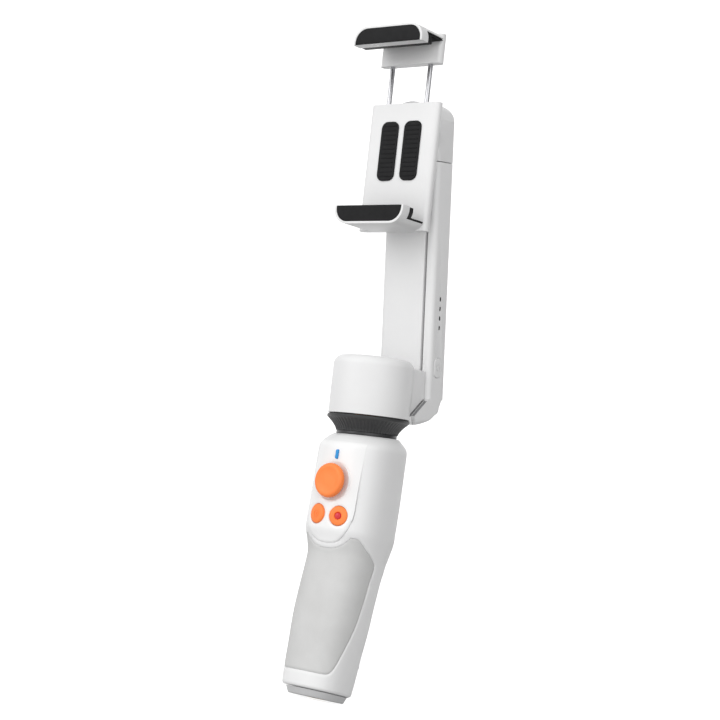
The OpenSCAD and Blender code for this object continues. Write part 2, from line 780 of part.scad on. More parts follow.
module flipped() { mirror([0, 0, 1]) children(); }
slide_low = 30;                    // lower edge of the sliding block
module upper_jaw() {
    color(white) at_roll() difference() {
        union() {
            flipped() jaw_shell();
            // sliding block behind the phone
            translate([0, 0, slide_low]) linear_extrude(jaw_out - slide_low)
                translate([0, (body_y0 + body_y1) / 2]) round_rect(jaw_w - 4, body_y1 - body_y0, 2);
        }
        for (s = [-1, 1]) translate([s * rod_x, rod_y, slide_low - 1]) cylinder(r = rod_r, h = 7);
    }
}
module upper_jaw_face() { color(black) at_roll() flipped() jaw_face(); }
module upper_jaw_grip() { color(black) at_roll() flipped() jaw_grip(); }
rod_end = -8;
module guide_rods() {
    color("silver") at_roll() for (s = [-1, 1]) translate([s * rod_x, rod_y, rod_end])
        cylinder(r = rod_r, h = slide_low + 6 - rod_end);
}
module clamp_springs() {
    color("silver") at_roll() for (s = [-1, 1]) translate([s * rod_x, rod_y, -27.8])
        cylinder(r = 1.5, h = rod_end + 27.7);
}
module clamp_screws() {
    color("gray") at_roll() for (x = [-13, 13]) for (z = [-38, -22])
        translate([x, 0, z]) y_rod(1.8, body_y1, body_y1 + 0.6);
}

handle_shell();
rear_cover();
control_panel();
grip_inlay();
base_foot();
tripod_insert();
battery();
main_board();
usb_socket();
status_light();
shell_screws();
joystick_module();
joystick_yoke();
joystick_cap();
mode_button();
record_button();
record_dot();
zoom_slider();
neck_ring();
ribbed_collar();
pan_stator();
pan_bearings();
pan_housing();
pan_rotor();
pan_shaft();
hinge_base();
hinge_pin();
hinge_washers();
arm_housing();
arm_cover();
arm_board();
battery_lights();
power_button();
extension_rod();
rod_head();
guide_pads();
roll_stator();
roll_bearing();
roll_housing();
roll_shaft();
clamp_body();
clamp_pad();
lower_jaw();
lower_jaw_face();
lower_jaw_grip();
upper_jaw();
upper_jaw_face();
upper_jaw_grip();
guide_rods();
clamp_springs();
clamp_screws();
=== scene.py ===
import json
import math

import bmesh
import bpy
from mathutils import Matrix, Vector
from mathutils.kdtree import KDTree


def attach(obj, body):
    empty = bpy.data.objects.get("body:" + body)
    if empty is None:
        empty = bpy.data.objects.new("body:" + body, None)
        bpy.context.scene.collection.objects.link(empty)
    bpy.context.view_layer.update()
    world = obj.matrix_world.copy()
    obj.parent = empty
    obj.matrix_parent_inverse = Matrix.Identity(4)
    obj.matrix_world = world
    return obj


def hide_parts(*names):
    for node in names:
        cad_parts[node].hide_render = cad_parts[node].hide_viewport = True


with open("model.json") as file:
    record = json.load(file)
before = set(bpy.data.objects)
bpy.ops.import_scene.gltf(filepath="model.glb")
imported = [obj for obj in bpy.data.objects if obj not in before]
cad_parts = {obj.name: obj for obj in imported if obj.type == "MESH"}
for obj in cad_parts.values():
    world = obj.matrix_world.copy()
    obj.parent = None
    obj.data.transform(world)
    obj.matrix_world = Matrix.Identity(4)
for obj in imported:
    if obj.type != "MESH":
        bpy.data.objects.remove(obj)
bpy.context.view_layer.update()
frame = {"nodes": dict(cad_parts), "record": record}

nodes = frame["nodes"]
scene = bpy.context.scene

# ---- frames of the object, in millimetres; meshes are written in metres ------------------------
SCALE = Matrix.Scale(0.001, 4)
PAN_Y, PAN_Z, PAN_LEAN = -6.5, 118.9, 10.0


def frame_at(y, z, lean):
    return Matrix.Translation((0, y, z)) @ Matrix.Rotation(math.radians(lean), 4, "X")


ROW = Matrix.Identity(4)
PAN = frame_at(PAN_Y, PAN_Z, PAN_LEAN)
HINGE = PAN @ frame_at(30.0, 6.0, 6.5)
ROLL = PAN @ frame_at(0.0, 123.3, 0.0)


# ---- mesh tools -------------------------------------------------------------------------------
def solid(name, verts, faces, where=ROW):
    """A mesh object from millimetre points in one of the frames."""
    place = SCALE @ where
    mesh = bpy.data.meshes.new(name)
    mesh.from_pydata([place @ Vector(v) for v in verts], [], faces)
    bm = bmesh.new()
    bm.from_mesh(mesh)
    bmesh.ops.recalc_face_normals(bm, faces=bm.faces)
    bm.to_mesh(mesh)
    bm.free()
    obj = bpy.data.objects.new(name, mesh)
    scene.collection.objects.link(obj)
    return obj


def on_axis(axis, a, b, t):
    return {"x": (t, a, b), "y": (a, t, b), "z": (a, b, t)}[axis]


def prism(name, outline, low, high, axis="z", where=ROW):
    """A flat outline pushed along an axis from low to high."""
    n = len(outline)
    verts = [on_axis(axis, a, b, t) for t in (low, high) for a, b in outline]
    faces = [tuple(range(n)), tuple(range(n, 2 * n))]
    faces += [(i, (i + 1) % n, n + (i + 1) % n, n + i) for i in range(n)]
    return solid(name, verts, faces, where)


def lathe(name, profile, axis="z", where=ROW, steps=96, shape=None):
    """A profile of (radius, height) turned round an axis.

    A ring's profile closes on itself; a solid one starts and ends on the axis.
    """
    ring = profile[0][0] > 0
    verts, rows = [], []
    for k, (r, t) in enumerate(profile):
        if r <= 0:
            rows.append([len(verts)] * steps)
            verts.append(on_axis(axis, 0, 0, t))
            continue
        rows.append(list(range(len(verts), len(verts) + steps)))
        for i in range(steps):
            a = 2 * math.pi * i / steps
            rr = shape(r, t, a) if shape else r
            verts.append(on_axis(axis, rr * math.cos(a), rr * math.sin(a), t))
    pairs = list(zip(rows, rows[1:])) + ([(rows[-1], rows[0])] if ring else [])
    faces = []
    for low, high in pairs:
        for i in range(steps):
            j = (i + 1) % steps
            face = [low[i], low[j], high[j], high[i]]
            face = [v for k, v in enumerate(face) if v not in face[:k]]
            if len(face) > 2:
                faces.append(tuple(face))
    return solid(name, verts, faces, where)


def rect(w, h, r, cx=0.0, cy=0.0, steps=8):
    """A rectangle with round corners."""
    points = []
    for sx, sy, start in ((1, 1, 0), (-1, 1, 90), (-1, -1, 180), (1, -1, 270)):
        for i in range(steps + 1):
            a = math.radians(start + 90 * i / steps)
            points.append((cx + sx * (w / 2 - r) + r * math.cos(a), cy + sy * (h / 2 - r) + r * math.sin(a)))
    return points


def block(name, x0, x1, y0, y1, z0, z1, where=ROW):
    return prism(name, [(x0, y0), (x1, y0), (x1, y1), (x0, y1)], z0, z1, "z", where)


def disc(radius, steps=48):
    angles = [2 * math.pi * i / steps for i in range(steps)]
    return [(radius * math.cos(a), radius * math.sin(a)) for a in angles]


def settle(obj):
    """Applies the modifiers."""
    bpy.context.view_layer.update()
    dg = bpy.context.evaluated_depsgraph_get()
    mesh = bpy.data.meshes.new_from_object(obj.evaluated_get(dg))
    old = obj.data
    obj.modifiers.clear()
    obj.data = mesh
    bpy.data.meshes.remove(old)
    return obj


def combine(obj, tools, operation="DIFFERENCE"):
    """Cuts, joins or keeps what is common, and removes the tools."""
    group = bpy.data.collections.new("tools")
    scene.collection.children.link(group)
    for t in tools:
        scene.collection.objects.unlink(t)
        group.objects.link(t)
    mod = obj.modifiers.new("combine", "BOOLEAN")
    mod.operation, mod.solver, mod.operand_type, mod.collection = operation, "EXACT", "COLLECTION", group
    settle(obj)
    for t in list(tools):
        bpy.data.meshes.remove(t.data)
    bpy.data.collections.remove(group)
    return obj


def cut(obj, *tools):
    return combine(obj, tools)


def join(obj, *tools):
    return combine(obj, tools, "UNION")


def common(obj, tool):
    return combine(obj, [tool], "INTERSECT")


def bevel(obj, width, segments=3, angle=35):
    """Rounds the edges. The width is in millimetres."""
    mod = obj.modifiers.new("bevel", "BEVEL")
    mod.width, mod.segments, mod.limit_method = width / 1000, segments, "ANGLE"
    mod.angle_limit = math.radians(angle)
    mod.miter_outer = "MITER_ARC"
    settle(obj)
    return obj


FACING = 0.6
SAMPLE_STEP = 0.0002


def ease(obj, depth, reach, outward, sharp=45):
    """Rounds the edges of a dense curved skin.

    Its points near a sharp edge sink by up to depth(point) within reach, in millimetres.
    """
    bm = bmesh.new()
    bm.from_mesh(obj.data)
    bm.normal_update()
    skin = {f.index for f in bm.faces if f.normal.dot(outward(f.calc_center_median())) > FACING}
    samples = []
    for e in bm.edges:
        if len(e.link_faces) != 2:
            continue
        a, b = e.link_faces
        if (a.index in skin) != (b.index in skin) and a.normal.angle(b.normal, 0) > math.radians(sharp):
            count = max(1, int(e.calc_length() / SAMPLE_STEP))
            samples += [e.verts[0].co.lerp(e.verts[1].co, k / count) for k in range(count + 1)]
    tree = KDTree(len(samples))
    for i, p in enumerate(samples):
        tree.insert(p, i)
    tree.balance()
    moves = []
    for v in bm.verts:
        faces = [f for f in v.link_faces if f.index in skin]
        if not faces or not samples:
            continue
        d = tree.find(v.co)[2] * 1000 / reach
        if d < 1:
            normal = sum((f.normal * f.calc_area() for f in faces), Vector()).normalized()
            sink = depth(v.co * 1000) / 1000 * (1 - math.sqrt(1 - (1 - d) ** 2))
            moves.append((v, normal * -sink))
    for v, move in moves:
        v.co += move
    bm.to_mesh(obj.data)
    bm.free()
    return obj


def finish(obj, body, material, replaces=(), sharp=38):
    """Smooth shading with crisp edges, the material, the body it rides on, and hiding of the parts it
    replaces.
    """
    obj.data.shade_smooth()
    obj.data.set_sharp_from_angle(angle=math.radians(sharp))
    obj.data.materials.clear()
    obj.data.materials.append(material)
    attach(obj, body)
    if replaces:
        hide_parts(*replaces)
    return obj


# ---- materials --------------------------------------------------------------------------------
def noise(tree, coords, scale, detail=3.0, rough=0.5):
    node = tree.nodes.new("ShaderNodeTexNoise")
    node.inputs["Scale"].default_value = scale
    node.inputs["Detail"].default_value = detail
    node.inputs["Roughness"].default_value = rough
    tree.links.new(coords, node.inputs["Vector"])
    return node.outputs["Fac"]


def cells(tree, coords, scale):
    node = tree.nodes.new("ShaderNodeTexVoronoi")
    node.feature = "SMOOTH_F1"
    node.inputs["Scale"].default_value = scale
    tree.links.new(coords, node.inputs["Vector"])
    return node.outputs["Distance"]


def spread(tree, value, low, high):
    """A value from 0 to 1, given as a number between low and high."""
    node = tree.nodes.new("ShaderNodeMapRange")
    node.inputs["From Min"].default_value, node.inputs["From Max"].default_value = 0.25, 0.75
    node.inputs["To Min"].default_value, node.inputs["To Max"].default_value = low, high
    tree.links.new(value, node.inputs["Value"])
    return node.outputs["Result"]


def between(tree, value, dark, light):
    node = tree.nodes.new("ShaderNodeMix")
    node.data_type = "RGBA"
    node.inputs["A"].default_value, node.inputs["B"].default_value = (*dark, 1), (*light, 1)
    tree.links.new(spread(tree, value, 0, 1), node.inputs["Factor"])
    return node.outputs["Result"]


def bump(tree, height, strength, distance, below=None):
    node = tree.nodes.new("ShaderNodeBump")
    node.inputs["Strength"].default_value = strength
    node.inputs["Distance"].default_value = distance
    tree.links.new(height, node.inputs["Height"])
    if below is not None:
        tree.links.new(below, node.inputs["Normal"])
    return node.outputs["Normal"]


def surface(name, slot, dark, light, rough, grain, patch=45.0, specular=0.5, coat=0.0, sheen=0.0):
    """A moulded surface: two close tones in soft patches, uneven gloss and layers of grain.

    Each layer of grain is (kind, scale, strength, depth).
    """
    mat = bpy.data.materials.new(name)
    mat.use_nodes = True
    mat["slot"] = slot
    tree = mat.node_tree
    shader = tree.nodes["Principled BSDF"]
    coords = tree.nodes.new("ShaderNodeTexCoord").outputs["Object"]
    patches = noise(tree, coords, patch, 4.0, 0.6)
    tree.links.new(between(tree, patches, dark, light), shader.inputs["Base Color"])
    gloss = noise(tree, coords, patch * 5, 5.0, 0.65)
    tree.links.new(spread(tree, gloss, rough[0], rough[1]), shader.inputs["Roughness"])
    normal = None
    for kind, scale, strength, depth in grain:
        height = noise(tree, coords, scale, 2.0) if kind == "noise" else cells(tree, coords, scale)
        normal = bump(tree, height, strength, depth, normal)
    tree.links.new(normal, shader.inputs["Normal"])
    shader.inputs["Specular IOR Level"].default_value = specular
    shader.inputs["Coat Weight"].default_value = coat
    shader.inputs["Coat Roughness"].default_value = 0.25
    shader.inputs["Sheen Weight"].default_value = sheen
    shader.inputs["Sheen Roughness"].default_value = 0.5
    return mat


def turned(name, slot, dark, light, rough, pitch=9000.0):
    """Metal with fine lines across the z axis."""
    mat = bpy.data.materials.new(name)
    mat.use_nodes = True
    mat["slot"] = slot
    tree = mat.node_tree
    shader = tree.nodes["Principled BSDF"]
    coords = tree.nodes.new("ShaderNodeTexCoord").outputs["Object"]
    stretch = tree.nodes.new("ShaderNodeMapping")
    stretch.inputs["Scale"].default_value = (pitch * 0.03, pitch * 0.03, pitch)
    tree.links.new(coords, stretch.inputs["Vector"])
    lines = noise(tree, stretch.outputs["Vector"], 1.0, 2.0)
    tree.links.new(between(tree, noise(tree, coords, 120.0), dark, light), shader.inputs["Base Color"])
    tree.links.new(spread(tree, lines, rough[0], rough[1]), shader.inputs["Roughness"])
    tree.links.new(bump(tree, lines, 0.35, 0.00003), shader.inputs["Normal"])
    shader.inputs["Metallic"].default_value = 1.0
    return mat


FINE = ("noise", 5200.0, 0.10, 0.00004)
SMOOTH = ("noise", 5200.0, 0.05, 0.00003)
WHITE = surface("white_plastic", "white_plastic", (0.765, 0.765, 0.768), (0.80, 0.80, 0.80),
    (0.34, 0.46), [FINE])
PANEL = surface("panel_plastic", "panel_plastic", (0.83, 0.83, 0.83), (0.86, 0.86, 0.86),
    (0.26, 0.36), [SMOOTH], coat=0.15)
GRIP = surface("grip_rubber", "grip_rubber", (0.555, 0.555, 0.55), (0.615, 0.615, 0.61),
    (0.62, 0.78), [("cells", 1900.0, 0.30, 0.00010), ("noise", 6500.0, 0.20, 0.00004)],
    patch=70.0, specular=0.35, sheen=0.08)
GREY = surface("grey_plastic", "grey_plastic", (0.50, 0.50, 0.505), (0.56, 0.56, 0.565),
    (0.38, 0.50), [FINE])
# painted shade: a dark grey that stands for the shade in the arm's groove and in the gap below the bracket
PAINTED_SHADE_GREY = surface("painted_shade_grey", "grey_plastic", (0.23, 0.23, 0.235), (0.27, 0.27, 0.275),
    (0.5, 0.62), [FINE])
COLLAR = surface("collar_plastic", "collar_plastic", (0.013, 0.013, 0.0135), (0.021, 0.021, 0.022),
    (0.42, 0.54), [("noise", 4200.0, 0.14, 0.00005)], patch=90.0)
RUBBER = surface("black_rubber", "black_rubber", (0.003, 0.003, 0.0035), (0.007, 0.007, 0.008),
    (0.5, 0.64), [("cells", 1500.0, 0.18, 0.00008), ("noise", 6000.0, 0.15, 0.00004)],
    patch=80.0, specular=0.2)
BLACK = surface("black_plastic", "black_plastic", (0.012, 0.012, 0.014), (0.022, 0.022, 0.024),
    (0.3, 0.44), [FINE], patch=80.0)
ORANGE = surface("orange_plastic", "orange_plastic", (0.96, 0.215, 0.035), (1.0, 0.25, 0.045),
    (0.42, 0.55), [("noise", 5200.0, 0.12, 0.00004)], patch=150.0)
RED = surface("red_plastic", "red_plastic", (0.60, 0.004, 0.016), (0.70, 0.007, 0.024),
    (0.3, 0.42), [("noise", 5200.0, 0.06, 0.00003)], patch=200.0, coat=0.3)
LENS = surface("smoked_lens", "smoked_lens", (0.014, 0.014, 0.016), (0.024, 0.024, 0.026),
    (0.18, 0.3), [SMOOTH], patch=200.0, coat=0.4)
STEEL = turned("steel", "steel", (0.52, 0.52, 0.54), (0.60, 0.60, 0.62), (0.22, 0.40))
BRASS = turned("brass", "brass", (0.60, 0.42, 0.17), (0.68, 0.50, 0.22), (0.26, 0.42))
COPPER = turned("copper_winding", "copper_winding", (0.50, 0.19, 0.08), (0.60, 0.25, 0.11),
    (0.25, 0.42), pitch=4200.0)
BOARD = surface("circuit_board", "circuit_board", (0.012, 0.10, 0.045), (0.02, 0.14, 0.065),
    (0.25, 0.4), [("noise", 2600.0, 0.2, 0.00005)], patch=260.0, coat=0.3)
CELL = surface("cell_wrap", "cell_wrap", (0.03, 0.11, 0.28), (0.045, 0.15, 0.34),
    (0.28, 0.42), [("noise", 1400.0, 0.15, 0.00006)], patch=90.0)
BLUE = surface("blue_light", "blue_light", (0.004, 0.20, 0.50), (0.012, 0.27, 0.62),
    (0.2, 0.3), [SMOOTH], patch=400.0)
BLUE.node_tree.nodes["Principled BSDF"].inputs["Emission Color"].default_value = (0.0, 0.27, 0.70, 1)
BLUE.node_tree.nodes["Principled BSDF"].inputs["Emission Strength"].default_value = 0.15

MATERIALS = (WHITE, PANEL, GRIP, GREY, COLLAR, RUBBER, BLACK, ORANGE, RED, LENS, STEEL, BRASS, COPPER,
    BOARD, CELL, BLUE)
BY_SLOT = {m["slot"]: m for m in MATERIALS}
for part in frame["record"]["subparts"]:
    held = nodes[part["node"]].data
    held.materials.clear()
    held.materials.append(BY_SLOT[part["material_slot"]])

# ---- handle -----------------------------------------------------------------------------------
# Sections from the foot to the neck: height, centre y, lean, half width, half depth, squareness.
NECK = 8.3
TOP_Z = PAN_Z - NECK * math.cos(math.radians(PAN_LEAN))
TOP_Y = PAN_Y + NECK * math.sin(math.radians(PAN_LEAN))
SECTIONS = [
    (2.9, -1.2, 0, 12.8, 12.6, 2.6), (4.1, -1.3, 0, 13.6, 13.4, 2.6), (20, -1.5, 0, 14.5, 14.2, 2.6),
    (34, -1.5, 0, 15.2, 14.8, 2.6), (50, -0.9, 0, 15.3, 14.9, 2.6), (58, -0.3, 0, 15.6, 15.1, 2.6),
    (63.5, -0.7, 1, 16.6, 16.1, 2.6), (69.5, -1.7, 3, 17.8, 17.3, 2.6), (83.5, -3.0, 6, 17.8, 17.2, 2.6),
    (94, -4.1, 8, 17.7, 17.1, 2.6), (104.6, -5.2, 10, 17.5, 17.0, 2.6), (106, -5.3, 10, 17.2, 16.8, 2.6),
    (TOP_Z - 1.2, TOP_Y - 0.3, 10, 15.0, 14.8, 2.2), (TOP_Z, TOP_Y, 10, 13.9, 13.9, 2.0)]
FOOT_H, WALL, SPLIT_Y, SHOULDER_Z = 2.9, 1.8, 6.5, 107.5


def slopes(column):
    """Slopes for a smooth curve through a column of the sections that never overshoots."""
    z = [s[0] for s in SECTIONS]
    d = [(SECTIONS[i + 1][column] - SECTIONS[i][column]) / (z[i + 1] - z[i])
         for i in range(len(z) - 1)]
    inner = [0 if p * q <= 0 else 2 * p * q / (p + q) for p, q in zip(d, d[1:])]
    return [d[0]] + inner + [d[-1]]


SLOPES = [None] + [slopes(c) for c in range(1, 6)]


def section(z):
    """Centre y, lean, half width, half depth and squareness at a height."""
    z = min(max(z, SECTIONS[0][0]), SECTIONS[-1][0])
    i = max(k for k in range(len(SECTIONS) - 1) if SECTIONS[k][0] <= z + 1e-9)
    low, high = SECTIONS[i], SECTIONS[i + 1]
    h = high[0] - low[0]
    t = (z - low[0]) / h
    a, b, c, d = 2 * t**3 - 3 * t**2 + 1, t**3 - 2 * t**2 + t, -2 * t**3 + 3 * t**2, t**3 - t**2
    return [a * low[k] + b * h * SLOPES[k][i] + c * high[k] + d * h * SLOPES[k][i + 1]
            for k in range(1, 6)]


def skin_point(z, angle, grow):
    cy, lean, w, d, power = section(z)
    c, s, e = math.cos(angle), math.sin(angle), 2 / power
    x = (w + grow) * math.copysign(abs(c) ** e, c)
    v = (d + grow) * math.copysign(abs(s) ** e, s)
    return x, cy + v * math.cos(math.radians(lean)), z + v * math.sin(math.radians(lean))


def loft(name, low, high, grow=0.0, around=64, pitch=2.0):
    """The handle's shape between two heights. grow is a number, or a function of height."""
    heights = [low]
    while heights[-1] < high - 0.02:
        z = heights[-1]
        fine = min(abs(z - FOOT_H - 0.6), abs(z - SHOULDER_Z)) < 2.4
        heights.append(min(high, z + (min(pitch, 0.4) if fine else pitch)))
    verts, faces = [], []
    for z in heights:
        g = grow(z) if callable(grow) else grow
        verts += [skin_point(z, 2 * math.pi * i / around, g) for i in range(around)]
    for k in range(len(heights) - 1):
        for i in range(around):
            j = (i + 1) % around
            faces.append((k * around + i, k * around + j, (k + 1) * around + j, (k + 1) * around + i))
    last = (len(heights) - 1) * around
    faces += [tuple(range(around)), tuple(range(last, last + around))]
    return solid(name, verts, faces)


def away(p):
    """Outward direction of the handle at a point, in metres."""
    cy = section(p.z * 1000)[0] / 1000
    return Vector((p.x, p.y - cy, 0)).normalized()


CONTROL_LEAN, FRONT = 6.0, 17.2
LIGHT_DOWN, JOY_DOWN, BUTTON_DOWN, FACE_OUT = 17.5, 28.9, 43, 17
SLIDER_Z, SOCKET_Z, JOY_D, BUTTON_D = 88, 73, 14.4, 8.2
SIN_P, COS_P = math.sin(math.radians(PAN_LEAN)), math.cos(math.radians(PAN_LEAN))
JOY_Z = PAN_Z - JOY_DOWN * COS_P - FACE_OUT * SIN_P
BUTTON_Z = PAN_Z - BUTTON_DOWN * COS_P - FACE_OUT * SIN_P
LIGHT_Z = PAN_Z - LIGHT_DOWN * COS_P - FACE_OUT * SIN_P


def centre_y(z):
    """Centre of the handle on straight lines between its sections."""
    for low, high in zip(SECTIONS, SECTIONS[1:]):
        if low[0] <= z <= high[0]:
            return low[1] + (high[1] - low[1]) * (z - low[0]) / (high[0] - low[0])
    return SECTIONS[0][1]


def at_front(z):
    return frame_at(centre_y(z) - FRONT, z, CONTROL_LEAN)


def at_button(side):
    turn = Matrix.Rotation(math.radians(14 * side), 4, "Z")
    lean = Matrix.Rotation(math.radians(CONTROL_LEAN), 4, "X")
    return Matrix.Translation((side * 5.35, centre_y(BUTTON_Z) - FRONT + 0.7, BUTTON_Z)) @ lean @ turn


def at_left(z):
    lean = Matrix.Rotation(math.radians(CONTROL_LEAN), 4, "X")
    return Matrix.Translation((-17.8, centre_y(z), z)) @ lean


def panel_outline(grow=0.0):
    w, drop, steps = 12 + grow, 14.2 + grow, 40
    arc = [(w * math.copysign(abs(math.cos(a)) ** 0.8, math.cos(a)), 76.5 + drop * math.sin(a))
           for a in (math.pi + math.pi * i / steps for i in range(steps + 1))]
    return [(w, 130), (-w, 130)] + arc


def smooth_path(points, steps=5):
    """Points on a smooth curve through the given ones."""
    out = []
    for i in range(len(points) - 1):
        p = [points[max(i - 1, 0)], points[i], points[i + 1], points[min(i + 2, len(points) - 1)]]
        for k in range(steps):
            t = k / steps
            w = (-0.5 * t + t * t - 0.5 * t**3, 1 - 2.5 * t * t + 1.5 * t**3,
                 0.5 * t + 2 * t * t - 1.5 * t**3, -0.5 * t * t + 0.5 * t**3)
            out.append(tuple(sum(w[m] * p[m][c] for m in range(4)) for c in (0, 1)))
    return out + [points[-1]]


def inlay_outline():
    side = smooth_path([(-13.0, 9.6), (-11.0, 10.2), (-9.4, 12.6), (-7.6, 18), (-4.1, 30), (-2.3, 40),
        (-1, 50), (-0.4, 54.6), (-0.35, 56.4), (-1.3, 58.2), (-4.8, 60.4), (-9, 62.8), (-11.8, 64.9),
        (-13.4, 65.8)])
    return [(-40, 9.6)] + side + [(-40, 65.8)]


def control_tools(clear):
    """What the controls take out of the shell and the panel."""
    tools = [prism("t", disc(JOY_D / 2 + 0.85, 72), -6, 6.0, "y", at_front(JOY_Z))]
    tools += [prism("t", disc(BUTTON_D / 2 + clear, 56), -6, 5, "y", at_button(s)) for s in (-1, 1)]
    tools.append(prism("t", rect(1.2 + clear, 3.9 + clear, 0.55), -6, 6, "y", at_front(LIGHT_Z)))
    return tools


DENSE = dict(around=232, pitch=0.62)


def rise(z):
    """The panel stands proud of the shell and runs out flush below the neck."""
    t = min(max((101.5 - z) / 16, 0), 1)
    return 0.5 * t * t * (3 - 2 * t)


def panel_recess(name):
    """The space of the panel, behind its outline."""
    tool = prism(name, panel_outline(), -60, -8, "y")
    common(tool, block("t", -40, 40, -60, 0, 30, TOP_Z - 6.2))
    return cut(tool, loft("t", 45, 108, -0.9, 96, 1.5))


def inlay_recess(name, gap):
    tool = prism(name, inlay_outline(), -30, 30, "x")
    cut(tool, prism("t", panel_outline(2 - gap), -60, 0, "y"))
    return cut(tool, loft("t", FOOT_H, 108, -1.3, 96, 1.5))


def screw_spots():
    for x in (-9, 9):
        for z in (16, 96):
            cy, _, a, b, power = section(z)
            yield x, cy + b * (1 - (abs(x) / a) ** power) ** (1 / power), z


body_tools = [loft("t", FOOT_H + 2.8, 106, -WALL, 72, 2.0), panel_recess("t"), inlay_recess("t", 0)]
body_tools += control_tools(0.8)
body_tools.append(prism("t", rect(6.6, 19, 3.2), -6, 12, "x", at_left(SLIDER_Z)))
body_tools.append(prism("t", rect(5.0, 10.6, 2.3), -6, 14, "x", at_left(SOCKET_Z)))
body_tools += [prism("t", disc(2.0, 32), -1.2, 4, "y", Matrix.Translation(s)) for s in screw_spots()]
body_tools += [prism("t", disc(4.7), -1, 11, "z"), prism("t", disc(6.2), -16, 4, "z", PAN)]
body = loft("handle_body", FOOT_H, TOP_Z, 0.0, **DENSE)
cut(body, *body_tools)
rear = body.copy()
rear.data = body.data.copy()
scene.collection.objects.link(rear)
front = body
front.name, rear.name = "handle_front_shell", "handle_rear_cover"
common(front, block("t", -40, 40, -60, SPLIT_Y, 0, 200))
common(rear, block("t", -40, 40, SPLIT_Y + 0.12, 60, 0, 200))


def soft_shell(p):
    """Edges of the shell are soft, and nearly flush where the panel meets it."""
    return 0.06 if p.y < -6 and p.z > 64 else 0.32


ease(front, soft_shell, 0.9, away)
ease(rear, lambda p: 0.30, 0.8, away)
finish(front, "handle", WHITE, ["handle_shell"])
finish(rear, "handle", WHITE, ["rear_cover"])

panel = loft("control_panel_skin", 45, 108, rise, around=300, pitch=0.5)
shape = prism("t", panel_outline(-0.015), -60, -8, "y")
common(shape, block("t", -40, 40, -60, 0, 30, TOP_Z - 6.25))
cut(shape, loft("t", 45, 108, -0.9, 96, 1.5))
common(panel, shape)
cut(panel, *control_tools(0.15))
ease(panel, lambda p: 0.7 * rise(p.z) + 0.02, 1.5, away)
finish(panel, "handle", PANEL, ["control_panel"])

inlay = loft("grip_inlay_skin", FOOT_H, 90, -0.02, around=260, pitch=0.55)
common(inlay, inlay_recess("t", 0.06))
ease(inlay, lambda p: 0.5, 1.3, away)
finish(inlay, "handle", GRIP, ["grip_inlay"])


def foot_block(name, around=120):
    """The foot: rounded rings of (height, half width, half depth, centre y), from the ground up."""
    rings = [(0.0, 10.6, 10.3, -0.6), (0.2, 10.9, 10.6, -0.65), (0.5, 11.1, 10.8, -0.7),
        (2.5, 11.9, 11.6, -0.95), (2.85, 12.0, 11.7, -1.0)]
    verts, faces = [], []
    for z, w, d, cy in rings:
        for i in range(around):
            a = 2 * math.pi * i / around
            c, s, e = math.cos(a), math.sin(a), 2 / 2.6
            verts.append((w * math.copysign(abs(c) ** e, c), cy + d * math.copysign(abs(s) ** e, s), z))
    for k in range(len(rings) - 1):
        low, high = k * around, (k + 1) * around
        faces += [(low + i, low + (i + 1) % around, high + (i + 1) % around, high + i)
                  for i in range(around)]
    top = (len(rings) - 1) * around
    faces += [tuple(range(around)), tuple(range(top, top + around))]
    return solid(name, verts, faces)


foot = foot_block("bevelled_foot")
cut(foot, prism("t", disc(4.5, 64), -1, 5, "z"))
# a shallow round seat for the pad of a tripod plate
cut(foot, lathe("t", [(7.0, -1), (7.0, 0.35), (8.6, 0.35), (8.6, -1)], "z", ROW, 96))
finish(foot, "handle", GREY, ["base_foot"])


def thread(name, r_root, r_crest, pitch, low, high, where, steps=48):
    """The wall of a threaded hole, with its helical ridge."""
    turns = (high - low) / pitch
    rows = int(turns * steps)
    verts, faces = [], []
    profile = [(r_root, -0.5), (r_crest, -0.08), (r_crest, 0.08), (r_root, 0.5)]
    for i in range(rows + 1):
        a = 2 * math.pi * i / steps
        z = low + pitch * i / steps
        for r, off in profile:
            verts.append((r * math.cos(a), r * math.sin(a), z + off * pitch * 0.5))
    n = len(profile)
    for i in range(rows):
        for k in range(n):
            a, b = i * n + k, i * n + (k + 1) % n
            faces.append((a, b, b + n, a + n))
    faces += [tuple(range(n)), tuple(range(rows * n, rows * n + n))]
    return solid(name, verts, faces, where)


bushing = [(3.15, 0.02), (4.2, 0.02), (4.48, 0.3), (4.48, 6.0), (6.0, 6.0), (6.0, 7.4), (4.48, 7.4),
    (4.48, 9.0), (0.5, 9.0), (0.5, 7.0), (3.15, 7.0)]
insert = lathe("tripod_bushing", bushing, "z", ROW, 72)
finish(insert, "handle", BRASS, ["tripod_insert"])
finish(thread("tripod_thread_ridge", 3.2, 2.66, 1.27, 0.5, 6.6, ROW), "handle", BRASS)

# Light, socket and screws
light = prism("status_pill", rect(1.2, 3.9, 0.55), -0.62, 2.4, "y", at_front(LIGHT_Z))
finish(bevel(light, 0.2, 2), "handle", BLUE, ["status_light"])

well_profile = [(3.2, 1.1), (6.0, 0.6), (7.4, 0.35), (8.03, 0.12), (8.5, 0.75), (8.5, 2.0), (3.2, 2.0)]
finish(lathe("joystick_well", well_profile, "y", at_front(JOY_Z), 96), "handle", PANEL)

at_socket = at_left(SOCKET_Z)
socket = prism("usb_shell", rect(4.4, 10.0, 2.1), 0.7, 8.1, "x", at_socket)
cut(socket, prism("t", rect(3.2, 8.8, 1.5), 0, 6.5, "x", at_socket))
join(socket, block("t", 2.0, 7.0, -0.35, 0.35, -3.4, 3.4, at_socket))
finish(bevel(socket, 0.15, 2), "handle", STEEL, ["usb_socket"])


def cross_slots(half_width, half_length, y0, y1, where):
    """The two slots of a cross-head screw."""
    return (block("t", -half_width, half_width, y0, y1, -half_length, half_length, where),
        block("t", -half_length, half_length, y0, y1, -half_width, half_width, where))


